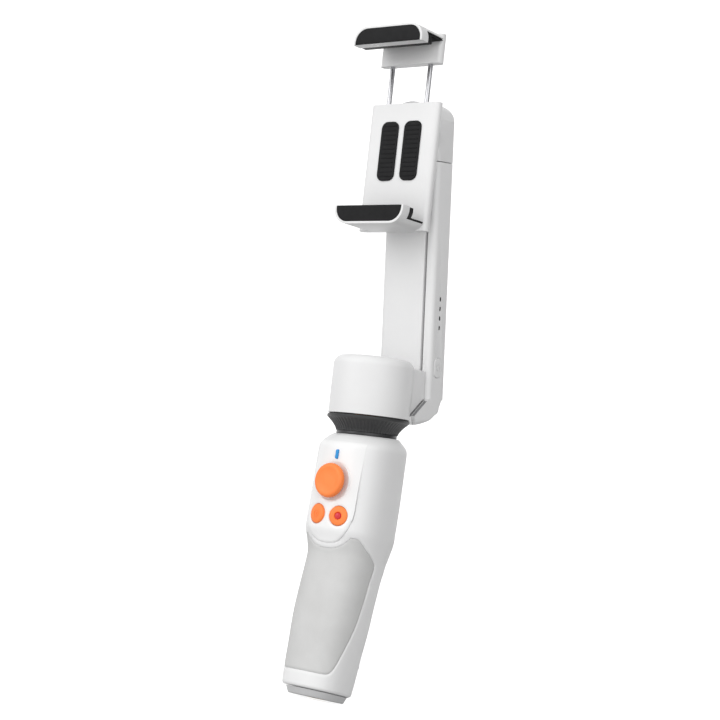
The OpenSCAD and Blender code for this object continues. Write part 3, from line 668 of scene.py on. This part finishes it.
shell_screw = [(0, -0.35), (1.35, -0.35), (1.75, -0.6), (1.75, -1.15), (1.2, -1.2), (1.2, -3.6),
    (0, -3.6)]
for k, spot in enumerate(screw_spots()):
    where = Matrix.Translation(spot)
    screw = lathe("shell_screw_%d" % k, shell_screw, "y", where, 40)
    cut(screw, *cross_slots(0.28, 1.1, -0.9, 0, where))
    finish(screw, "handle", STEEL, ["shell_screws"] if k == 0 else ())

# Controls
CAP_OUT, KNURLS, KNURL_DEPTH = 1.25, 36, 0.06
cap_profile = [(0, 2.35), (2.4, 2.28), (4.0, 2.30), (5.1, 2.62), (5.9, 2.78), (6.6, 2.55),
    (7.05, 1.95), (7.2, 1.25), (7.15, 0.5), (6.8, 0.05), (6.0, -0.15), (1.5, -0.15), (1.2, -0.4),
    (1.2, -7.1), (0, -7.1)]
cap = lathe("joystick_dome", [(r, -CAP_OUT - t) for r, t in cap_profile], "y", at_front(JOY_Z), 120,
    lambda r, t, a: r + (KNURL_DEPTH * math.cos(KNURLS * a) if r > 7.0 else 0))
finish(cap, "joystick", ORANGE, ["joystick_cap"], sharp=50)


def button(name, side, dished):
    face = [(0, -1.30), (2.2, -1.34), (3.3, -1.30), (3.75, -1.16), (4.02, -0.88), (4.1, -0.5),
        (4.1, 1.6), (4.6, 1.6), (4.6, 2.2), (0, 2.2)]
    if dished:
        face[:1] = [(0, -0.92), (1.45, -0.92), (1.6, -1.05), (1.75, -1.30)]
    return lathe(name, face, "y", at_button(side), 96)


mode = button("mode_button_cap", -1, False)
# a neutral raised ring with a dot in place of the printed letter
join(mode,
    lathe("t", [(1.15, -1.2), (1.15, -1.48), (1.5, -1.48), (1.5, -1.2)], "y", at_button(-1), 48),
    lathe("t", [(0, -1.48), (0.42, -1.48), (0.42, -1.2), (0, -1.2)], "y", at_button(-1), 32))
finish(mode, "mode_button", ORANGE, ["mode_button"])
finish(button("record_button_cap", 1, True), "record_button", ORANGE, ["record_button"])
dot_profile = [(0, -1.56), (0.9, -1.5), (1.25, -1.35), (1.42, -1.1), (1.42, -0.92), (0, -0.92)]
dot = lathe("record_dot_cap", dot_profile, "y", at_button(1), 48)
finish(dot, "record_button", RED, ["record_dot"])


def thumb_rib(z):
    """A three-sided rib across the slider's thumb piece."""
    outline = [(-1.34, z), (-0.694, z + 0.38), (-0.694, z - 0.38)]
    return prism("t", outline, -2.3, 2.3, "y", at_left(SLIDER_Z))


slider = prism("zoom_thumb", rect(5.8, 11, 2.8), -0.9, 3.2, "x", at_left(SLIDER_Z))
bevel(slider, 0.5, 3)
join(slider, block("t", 2.5, 3.7, -4.3, 4.3, -7.5, 7.5, at_left(SLIDER_Z)))
join(slider, *[thumb_rib(z) for z in (-3, -1.5, 0, 1.5, 3)])
finish(slider, "zoom_slider", BLACK, ["zoom_slider"])

# ---- pan stage --------------------------------------------------------------------------------
DRUM_R, DRUM_H, DRUM_ROUND, COLLAR_H, LOW_R = 17.3, 25.4, 4.2, 6.7, 13.2
ring = [(6.0, -8.25), (12.6, -8.25), (12.9, -8.0), (12.9, -6.85), (12.8, -6.7), (6.0, -6.7)]
finish(lathe("neck_band", ring, "z", PAN, 120), "handle", BLACK, ["neck_ring"])

flank = [(LOW_R + (17.4 - LOW_R) * (i / 12) ** 1.5, -COLLAR_H + (COLLAR_H - 1.4) * i / 12)
         for i in range(13)]
lip = [(17.52, -1.15), (17.55, -0.6), (17.4, -0.22), (17.1, 0.0), (15.0, 0.0), (15.0, -1.2), (6.0, -1.2)]
collar_profile = [(6.0, -COLLAR_H), (LOW_R - 0.3, -COLLAR_H)] + flank + lip
RIBS, RIB_TOP, RIB_DEPTH = 60, -1.35, 0.42


def ribbed(r, z, a):
    """Fine ribs down the flank, fading out at the lip."""
    if z < -COLLAR_H + 0.05 or z > RIB_TOP or r < LOW_R - 0.2:
        return r
    wave = (0.5 + 0.5 * math.cos(RIBS * a)) ** 0.7
    fade = min(1, (RIB_TOP - z) / 0.5) * min(1, (z + COLLAR_H) / 0.4)
    return r - RIB_DEPTH * (1 - wave) * fade


collar = lathe("ribbed_collar_skin", collar_profile, "z", PAN, RIBS * 10, ribbed)
finish(collar, "handle", COLLAR, ["ribbed_collar"], sharp=60)

fillet_turns = [math.radians(a) for a in range(0, 91, 6)]
fillet = [(DRUM_R - DRUM_ROUND * (1 - math.cos(a)), DRUM_H - DRUM_ROUND * (1 - math.sin(a)))
          for a in fillet_turns]
drum_profile = [(15.3, 0.3), (17.0, 0.3), (17.25, 0.42), (17.3, 0.7)] + fillet[:-1]
drum_profile += [(12.9, DRUM_H), (12.05, DRUM_H), (12.0, DRUM_H - 0.3), (11.85, DRUM_H - 0.3),
    (11.8, DRUM_H), (0.01, DRUM_H), (0.01, DRUM_H - 3.6), (15.3, DRUM_H - 3.6)]
finish(lathe("pan_drum", drum_profile, "z", PAN, 160), "pan_head", WHITE, ["pan_housing"])

HALF_ARM, FRONT_V, BACK_V, SEAM = 13.8, -6.75, 6.05, 0.3
FOLD_V, FOLD_W, KNUCKLE_R, LUG_HALF, PIN_R = 1.5, 1.7, 3.0, 6.0, 1.2
END_W = FOLD_W + KNUCKLE_R + SEAM
FOLD = HINGE @ Matrix.Translation((0, FOLD_V, FOLD_W))
BRACKET_HALF, CHEEK_X, CHEEK_REACH = 12.0, 12.3, 18.0
BIG_V, BIG_W, BIG_R = -8.24, 8.99, 13.6
UNDER = [(-11.5, -5.3), (-14.5, -5.4), (-18.3, -5.0)]


def big_round():
    """The heel's large round, from the arm's back to the collar, in the hinge frame."""
    arc = [(BIG_V + BIG_R * math.cos(math.radians(a)), BIG_W + BIG_R * math.sin(math.radians(a)))
           for a in range(-17, -89, -4)]
    return arc + [(-11.5, -5.0), (-14.5, -5.4), (-18.3, -5.0), (-18.4, -3.0)]


def heel_outline():
    """Side outline of the heel, in the hinge frame: flat top, knuckle and a large soft round."""
    turns = [math.radians(a) for a in range(90, -67, -6)]
    knuckle = [(FOLD_V + KNUCKLE_R * math.cos(a), FOLD_W + KNUCKLE_R * math.sin(a)) for a in turns]
    under = smooth_path([(-2.75, -3.42), (-5.2, -4.3), (-8.24, -4.9)] + UNDER, 4)
    return [(FRONT_V - 0.6, END_W - SEAM)] + knuckle + under + [(-18.4, -3.0)]


heel = bevel(prism("hinge_heel", heel_outline(), -BRACKET_HALF, BRACKET_HALF, "x", HINGE), 0.3, 3, 60)
bracket_outline = [(10, 2.4), (12.36, 2.4), (21.6, 10.5), (22.35, 10.9), (20.97, 22.8), (10, 22.8)]
bracket = prism("t", bracket_outline, -BRACKET_HALF, BRACKET_HALF, "x", PAN)
web_outline = [(10, 0.6), (12.3, 0.6), (22.1, 9.6), (22.2, 11), (12, 12), (10, 12)]
web = prism("t", web_outline, -10.8, 10.8, "x", PAN)
top = block("t", -BRACKET_HALF, BRACKET_HALF, FRONT_V - 0.6, FOLD_V, 1.5, END_W - SEAM, HINGE)
join(heel, bevel(bracket, 0.5, 3), web, top)
cut(heel,
    prism("t", disc(DRUM_R, 160), -1, 40, "z", PAN),
    prism("t", disc(17.85, 160), -20, 0.3, "z", PAN),
    block("t", -LUG_HALF - SEAM, LUG_HALF + SEAM, -KNUCKLE_R - 0.4, 25, -20, 20, FOLD))
finish(heel, "pan_head", WHITE, ["hinge_base"])

# ---- arm --------------------------------------------------------------------------------------
ROD_W, ROD_T, GROOVE_W, ROD_LOW, HOUSING = 22.4, 5.4, 1.5, 15.2, 108.0
ROD_RIGHT, BED = -HALF_ARM + ROD_W, FRONT_V + ROD_T
RAIL_X, BUTTON_W, LIGHT_W, LIGHT_STEP, SIDE_V = -2.6, 19.2, 36.5, 4.15, -0.6
LIGHT_AT = [LIGHT_W + LIGHT_STEP * i for i in range(4)]
SECTION = rect(2 * HALF_ARM, BACK_V - FRONT_V, 2.6, 0, (FRONT_V + BACK_V) / 2, 8)


def side_outline(w, h, r, centre_w):
    """An outline on the arm's right side, drawn in v and w."""
    return [(SIDE_V + a, centre_w + b) for a, b in rect(w, h, r, 0, 0, 8)]


arm = prism("arm_shell", SECTION, END_W, HOUSING, "z", HINGE)
end_curve = smooth_path([(BACK_V - 1.3, END_W - 0.01), (BACK_V - 0.75, END_W + 3),
    (BACK_V - 0.01, END_W + 6)], 5)
end_outline = [(BACK_V - 1.3, END_W - 1)] + end_curve
end_outline += [(BACK_V + 3, END_W + 6), (BACK_V + 3, END_W - 1)]
floor, top = ROD_LOW - 0.3, 130
cut(arm,
    prism("t", end_outline, -20, 20, "x", HINGE),
    block("t", -HALF_ARM - 2, ROD_RIGHT + GROOVE_W, FRONT_V - 2, BED + 0.15, floor, top, HINGE),
    block("t", RAIL_X - 7.15, RAIL_X + 7.15, BED - 1, BED + 2.2, floor, top, HINGE),
    block("t", RAIL_X - 9.15, RAIL_X + 9.15, BED + 1.2, BED + 2.8, floor, top, HINGE),
    block("t", -HALF_ARM + 1.6, HALF_ARM - 1.6, BACK_V - 1.4, BACK_V + 2, ROD_LOW + 0.8, HOUSING - 1.7,
        HINGE),
    block("t", ROD_RIGHT + GROOVE_W + 1.8, HALF_ARM - 1.7, FRONT_V + 3, BACK_V - 1.5, 17, 60, HINGE))
lug = [prism("t", disc(KNUCKLE_R, 64), -LUG_HALF, LUG_HALF, "x", FOLD),
    block("t", -LUG_HALF, LUG_HALF, -KNUCKLE_R, KNUCKLE_R, 0, END_W - FOLD_W + 1, FOLD)]
side_holes = [(side_outline(5.7, 8.9, 2.75, BUTTON_W), 2.6)]
side_holes += [(side_outline(1.15, 1.95, 0.5, w), 2.4) for w in LIGHT_AT]
cut(arm, *[prism("t", hole, HALF_ARM - deep, HALF_ARM + 2, "x", HINGE) for hole, deep in side_holes])
bevel(arm, 0.3, 3, 40)
back_edge = [(BACK_V - 0.02, END_W + 8), (BACK_V - 0.3, END_W + 4)] + big_round()[:-2]
cheeks = prism("t", [(-30, END_W + 8)] + back_edge + [(-30, -5.6)], -HALF_ARM, HALF_ARM, "x", HINGE)
bevel(cheeks, 2.1, 6, 60)
front_edge = [(-18.3, -10), (-18.4, -3.0), (FRONT_V - 0.6, END_W - SEAM), (FRONT_V + 0.4, END_W + 0.6)]
common(cheeks, prism("t", front_edge + [(20, END_W + 0.6), (20, -10)], -20, 20, "x", HINGE))
common(cheeks, block("t", -20, 20, -30, 20, -10, END_W + 0.6, HINGE))
cut(cheeks, block("t", -CHEEK_X, CHEEK_X, -30, 20, -10, 20, HINGE))
common(cheeks, prism("t", disc(CHEEK_REACH, 96), -20, 20, "x", FOLD))
join(arm, *lug, cheeks)
cut(arm, prism("t", disc(PIN_R + 0.05, 48), -CHEEK_X, CHEEK_X, "x", FOLD))
finish(arm, "arm", WHITE, ["arm_housing"])
# painted shade: a dark grey strip inside the groove beside the sliding panel stands for the shade in the
# groove
groove_shade_strip = block("groove_painted_shade", ROD_RIGHT + 0.35, ROD_RIGHT + GROOVE_W + 0.3, FRONT_V + 1.6, FRONT_V + 2.4,
    ROD_LOW + 0.2, HOUSING - 0.5, HINGE)
finish(groove_shade_strip, "arm", PAINTED_SHADE_GREY)

# painted shade: the sloping faces of the gap below the bracket are coloured a darker grey for the shade that
# falls there
slope = [(-18.3, -2.97), (FRONT_V - 0.65, END_W - SEAM - 0.03),
    (FRONT_V - 0.75, END_W - SEAM + 0.12), (-18.4, -2.82)]
slope_side = prism("gap_edges_painted_shade", slope, -HALF_ARM + 0.25, HALF_ARM - 0.25, "x", HINGE)
cut(slope_side, block("t", -CHEEK_X, CHEEK_X, -30, 20, -10, 20, HINGE))
common(slope_side, prism("t", disc(CHEEK_REACH - 0.1, 96), -20, 20, "x", FOLD))
finish(slope_side, "arm", PAINTED_SHADE_GREY)
slope_mid = prism("gap_face_painted_shade", slope, -BRACKET_HALF + 0.2, BRACKET_HALF - 0.2, "x", HINGE)
cut(slope_mid, prism("t", disc(17.95, 120), -20, 40, "z", PAN))
finish(slope_mid, "pan_head", PAINTED_SHADE_GREY)

cover = block("arm_back_cover", -HALF_ARM + 1.7, HALF_ARM - 1.7, BACK_V - 1.35, BACK_V - 0.12,
    ROD_LOW + 1, HOUSING - 2, HINGE)
bevel(cover, 0.35, 3)
finish(cover, "arm", WHITE, ["arm_cover"])

for i, w in enumerate(LIGHT_AT):
    lens = prism("battery_light_%d" % i, side_outline(1.0, 1.8, 0.45, w), HALF_ARM - 1.4, HALF_ARM - 0.02,
        "x", HINGE)
    finish(bevel(lens, 0.1, 2), "arm", LENS, ["battery_lights"] if i == 0 else ())

power = prism("power_button_cap", side_outline(5.4, 8.6, 2.6, BUTTON_W), HALF_ARM - 1.2, HALF_ARM + 0.22,
    "x", HINGE)
bevel(power, 0.25, 3)
ring_low, ring_high = HALF_ARM - 0.1, HALF_ARM + 1
ring = [(1.05, ring_low), (1.5, ring_low), (1.5, ring_high), (1.05, ring_high)]
cut(power, lathe("t", ring, "x", HINGE @ Matrix.Translation((0, SIDE_V, BUTTON_W)), 40))
finish(power, "power_button", WHITE, ["power_button"])

rod = prism("sliding_panel", SECTION, ROD_LOW, HOUSING + 0.4, "z", HINGE)
common(rod, block("t", -HALF_ARM - 2, ROD_RIGHT, FRONT_V - 2, BED, 0, 130, HINGE))
bevel(rod, 0.35, 3, 40)
join(rod,
    block("t", RAIL_X - 7, RAIL_X + 7, BED - 0.4, BED + 2.0, ROD_LOW, HOUSING + 0.3, HINGE),
    block("t", RAIL_X - 9, RAIL_X + 9, BED + 1.4, BED + 2.55, ROD_LOW, HOUSING + 0.3, HINGE))
finish(rod, "rod", WHITE, ["extension_rod"])

HEAD0, HEAD1 = HOUSING + 0.4, 134.0
head = prism("arm_head", SECTION, HEAD0, HEAD1, "z", HINGE)
common(head, prism("t", rect(27.6, 2 * (HEAD1 - HEAD0) - 12, 11, 0, HEAD0 + 6, 24), -20, 20, "y", HINGE))
bevel(head, 1.0, 4, 50)
join(head, lathe("t", [(0, 9.3), (13.6, 9.3), (14.0, 9.7), (14.0, 14.0), (0, 14.0)], "y", ROLL, 96))
cut(head, prism("t", disc(12, 96), 7.9, 15, "y", ROLL), prism("t", disc(15.5, 96), -10, 8.9, "y", ROLL))
finish(head, "rod", WHITE, ["rod_head"])

# ---- roll motor and clamp ---------------------------------------------------------------------
can_profile = [(2.0, 5.32), (14.7, 5.32), (15.0, 5.6), (15.0, 8.3), (14.7, 8.6), (13.1, 8.6),
    (13.0, 7.1), (2.0, 7.1)]
finish(lathe("roll_motor_can", can_profile, "y", ROLL, 128), "clamp", GREY, ["roll_housing"])

JAW_IN, JAW_OUT, LIP_IN = 39.2, 42.8, 34.9
LIP_Y, SHELL, PHONE_Y, BODY_Y0, BODY_Y1 = -16.2, 4.8, -7.8, 1.0, 5.3
LIP_BACK = LIP_Y + SHELL


def jaw_face(inset, flip, top=LIP_IN):
    """The D of a jaw's face: flat at the gap, round at its outer corners."""
    w, r, out = 18 - inset, 6.4 - inset / 2, JAW_OUT - inset
    deep = out - r
    first = math.asin(max(0.0, (top - deep) / r))
    turns = [first + (math.pi / 2 - first) * i / 15 for i in range(16)]
    half = [(w, -top)] if top < deep else []
    half += [(w - r + r * math.cos(a), -deep - r * math.sin(a)) for a in turns]
    return [(x, z * flip) for x, z in half + [(-x, z) for x, z in reversed(half)]]


def jaw(name, flip):
    shell = prism(name, jaw_face(0, flip), LIP_Y, LIP_BACK, "y", ROLL)
    plate = prism("t", jaw_face(0, flip, JAW_IN + 0.9), LIP_BACK - 1, BODY_Y0, "y", ROLL)
    join(shell, plate)
    return shell


def inner_part(obj, flip):
    """Keeps the part of a pad that lies on the phone's side of the jaw's plate."""
    low, high = sorted((-flip * (JAW_IN + 0.9), -flip * 60))
    return cut(obj, block("t", -30, 30, -30, 10, low, high, ROLL))


def jaw_trim(prefix, flip, body, face_node, grip_node):
    """The black face of a jaw and its rubber grip, with soft ribs across the jaw."""
    face = prism(prefix + "_face_pad", jaw_face(0.95, flip, LIP_IN + 0.12), LIP_Y - 0.05, LIP_Y + 0.6,
        "y", ROLL)
    bevel(face, 0.35, 3, 40)
    finish(face, body, RUBBER, [face_node])
    grip = prism(prefix + "_grip_pad", jaw_face(0.5, flip, LIP_IN + 0.1), LIP_BACK, PHONE_Y, "y", ROLL)
    bevel(inner_part(grip, flip), 0.4, 3, 40)
    floor = prism("t", jaw_face(0.5, flip, JAW_IN), PHONE_Y - 0.1, BODY_Y0 - 0.1, "y", ROLL)
    join(grip, inner_part(floor, flip))
    rib_z = -flip * (JAW_IN + 0.02)
    join(grip, *[prism("t", disc(0.34, 12), -16.0, 16.0, "x", ROLL @ Matrix.Translation((0, y, rib_z)))
                 for y in (-6.4, -4.9, -3.4, -1.9, -0.5)])
    finish(grip, body, RUBBER, [grip_node])


lower = jaw("lower_jaw_shell", 1)
cut(lower, prism("t", jaw_face(0.9, 1), LIP_Y - 1, LIP_Y + 0.62, "y", ROLL))
finish(bevel(lower, 0.4, 3, 40), "clamp", WHITE, ["lower_jaw"])
jaw_trim("lower_jaw", 1, "clamp", "lower_jaw_face", "lower_jaw_grip")

RODS = [(-10, 3.1), (10, 3.1)]


def rod_bores(radius, low, high):
    """Holes round both guide rods."""
    return [prism("t", disc(radius, 32), low, high, "z", ROLL @ Matrix.Translation((x, y, 0)))
            for x, y in RODS]


upper = jaw("upper_jaw_shell", -1)
cut(upper, prism("t", jaw_face(0.9, -1), LIP_Y - 1, LIP_Y + 0.62, "y", ROLL))
slide = prism("t", rect(32, BODY_Y1 - BODY_Y0, 2, 0, (BODY_Y0 + BODY_Y1) / 2), 30, JAW_OUT, "z", ROLL)
join(upper, slide)
cut(upper, *rod_bores(1.12, 29, 36))
finish(bevel(upper, 0.4, 3, 40), "upper_jaw", WHITE, ["upper_jaw"])
jaw_trim("upper_jaw", -1, "upper_jaw", "upper_jaw_face", "upper_jaw_grip")

base = prism("clamp_back", rect(36, BODY_Y1 - BODY_Y0, 2, 0, (BODY_Y0 + BODY_Y1) / 2), -JAW_OUT, 13,
    "z", ROLL)
cut(base, *rod_bores(1.2, -9, 20), *rod_bores(1.75, -28, -4))
finish(bevel(base, 0.6, 3, 40), "clamp", WHITE, ["clamp_body"])

for k, x in enumerate((-6, 6)):
    pad = prism("back_pad_%d" % k, rect(9, 26, 3, x, -8), 0.4, BODY_Y0 + 0.1, "y", ROLL)
    bevel(pad, 0.25, 3)
    join(pad, *[prism("t", disc(0.3, 12), -3.4, 3.4, "x", ROLL @ Matrix.Translation((x, 0.45, z)))
                for z in range(-19, 4, 2)])
    finish(pad, "clamp", RUBBER, ["clamp_pad"] if k == 0 else ())


def coil_spring(name, where, radius=1.25, wire=0.22, height=19.2, turns=13, per_turn=20):
    """A wound wire as a mesh."""
    curve = bpy.data.curves.new("wire", "CURVE")
    curve.dimensions, curve.use_fill_caps = "3D", True
    curve.bevel_depth, curve.bevel_resolution = wire / 1000, 2
    line = curve.splines.new("POLY")
    count = turns * per_turn
    line.points.add(count)
    place = SCALE @ where
    for i in range(count + 1):
        a = 2 * math.pi * i / per_turn
        p = place @ Vector((radius * math.cos(a), radius * math.sin(a), height * i / count))
        line.points[i].co = (*p, 1)
    wound = bpy.data.objects.new("wire", curve)
    scene.collection.objects.link(wound)
    dg = bpy.context.evaluated_depsgraph_get()
    obj = bpy.data.objects.new(name, bpy.data.meshes.new_from_object(wound.evaluated_get(dg)))
    scene.collection.objects.link(obj)
    bpy.data.objects.remove(wound)
    return obj


rod_profile = [(0, -8), (0.8, -8), (1.08, -7.7), (1.08, 35.6), (0.8, 36), (0, 36)]
for k, (x, y) in enumerate(RODS):
    guide = lathe("guide_rod_%d" % k, rod_profile, "z", ROLL @ Matrix.Translation((x, y, 0)), 32)
    finish(guide, "upper_jaw", STEEL, ["guide_rods"] if k == 0 else ())
    coil = coil_spring("clamp_coil_%d" % k, ROLL @ Matrix.Translation((x, y, -27.6)))
    finish(coil, "clamp", STEEL, ["clamp_springs"] if k == 0 else ())

clamp_screw = [(0, 5.9), (0.7, 5.85), (0.9, 5.6), (0.9, 5.25), (0, 5.25)]
for k, (x, z) in enumerate(((-13, -38), (13, -38), (-13, -22), (13, -22))):
    where = ROLL @ Matrix.Translation((x, 0, z))
    screw = lathe("clamp_screw_%d" % k, clamp_screw, "y", where, 32)
    cut(screw, *cross_slots(0.14, 0.6, 5.6, 7, where))
    finish(screw, "clamp", STEEL, ["clamp_screws"] if k == 0 else ())

# ---- stage, light and camera ------------------------------------------------------------------
CAM_AT = Vector((0.4288, -0.5607, -0.0074))
CAM_LOOK = Vector((-0.6081, 0.76585, 0.20898))
CAM_UP = Vector((-0.04378, -0.29519, 0.95440))


def toward_and_side():
    """Level directions from the object to the camera, and to the camera's left of it."""
    toward = Vector((CAM_AT.x, CAM_AT.y, 0)).normalized()
    return toward, Vector((-toward.y, toward.x, 0))


def along(tree, coords, direction):
    """How far a point lies in a direction."""
    node = tree.nodes.new("ShaderNodeVectorMath")
    node.operation = "DOT_PRODUCT"
    tree.links.new(coords, node.inputs[0])
    node.inputs[1].default_value = direction
    return node.outputs["Value"]


def ramp(tree, value, start, stop, low, high):
    node = tree.nodes.new("ShaderNodeMapRange")
    node.interpolation_type = "SMOOTHSTEP"
    for name, number in (("From Min", start), ("From Max", stop), ("To Min", low), ("To Max", high)):
        node.inputs[name].default_value = number
    tree.links.new(value, node.inputs["Value"])
    return node.outputs["Result"]


def stage_sheet():
    """A pale floor under the foot. It falls slightly towards the camera and sweeps up behind.

    It doesn't light the object.
    """
    toward, side = toward_and_side()
    rows, near, step, slope, bend, half_width = 41, 3.0, 0.12, 0.030, -0.9, 3.2
    verts, faces = [], []
    for i in range(rows):
        d = near - i * step
        z = -0.0006 - slope * d
        if d <= bend:
            z += 1.9 * ((bend - d) / -bend) ** 2
        verts += [toward * d + side * s + Vector((0, 0, z)) for s in (-half_width, half_width)]
    for k in range(rows - 1):
        faces.append((2 * k, 2 * k + 1, 2 * k + 3, 2 * k + 2))
    mesh = bpy.data.meshes.new("stage_sheet")
    mesh.from_pydata(verts, [], faces)
    mesh.shade_smooth()
    obj = bpy.data.objects.new("stage_sheet", mesh)
    scene.collection.objects.link(obj)
    mat = bpy.data.materials.new("stage_paper")
    mat.use_nodes = True
    tree = mat.node_tree
    shader = tree.nodes["Principled BSDF"]
    shader.inputs["Emission Strength"].default_value = 0.72
    shader.inputs["Base Color"].default_value = (0.62, 0.62, 0.62, 1)
    shader.inputs["Roughness"].default_value = 0.9
    shader.inputs["Emission Color"].default_value = (1, 1, 1, 1)
    mesh.materials.append(mat)
    obj.visible_diffuse = False


stage_sheet()

# a studio that is bright on the left and in front and dim on the right and behind
LEFT = Vector((0.15, -0.90, 0.35)).normalized()
world = bpy.data.worlds.new("studio")
world.use_nodes = True
tree = world.node_tree
outward = tree.nodes.new("ShaderNodeTexCoord").outputs["Generated"]
glow = ramp(tree, along(tree, outward, LEFT), -0.70, 0.85, 0.10, 0.95)
tree.nodes["Background"].inputs["Color"].default_value = (1, 1, 1, 1)
tree.links.new(glow, tree.nodes["Background"].inputs["Strength"])
scene.world = world

AIM = Vector((0.0, 0.0, 0.14))


def lamp(name, at, size, power):
    data = bpy.data.lights.new(name, "AREA")
    data.shape, data.size, data.energy = "SQUARE", size, power
    obj = bpy.data.objects.new(name, data)
    obj.location = at
    obj.rotation_mode = "QUATERNION"
    obj.rotation_quaternion = (AIM - Vector(at)).to_track_quat("-Z", "Y")
    scene.collection.objects.link(obj)


lamp("key", (-1.10, -2.50, 0.95), 1.8, 19.0)
lamp("fill", (2.20, -1.80, 0.90), 2.4, 20.0)
lamp("rim", (-0.9, 1.9, 1.3), 1.6, 8.0)

cam = bpy.data.cameras.new("camera")
cam.lens, cam.sensor_width = 83.8, 36.0
cam.clip_start, cam.clip_end = 0.01, 20.0
camera = bpy.data.objects.new("camera", cam)
back = -CAM_LOOK.normalized()
right = CAM_UP.cross(back).normalized()
up = back.cross(right)
camera.matrix_world = Matrix.Translation(CAM_AT) @ Matrix((right, up, back)).transposed().to_4x4()
scene.collection.objects.link(camera)
scene.camera = camera
scene.view_settings.view_transform = "Standard"

bpy.context.view_layer.update()
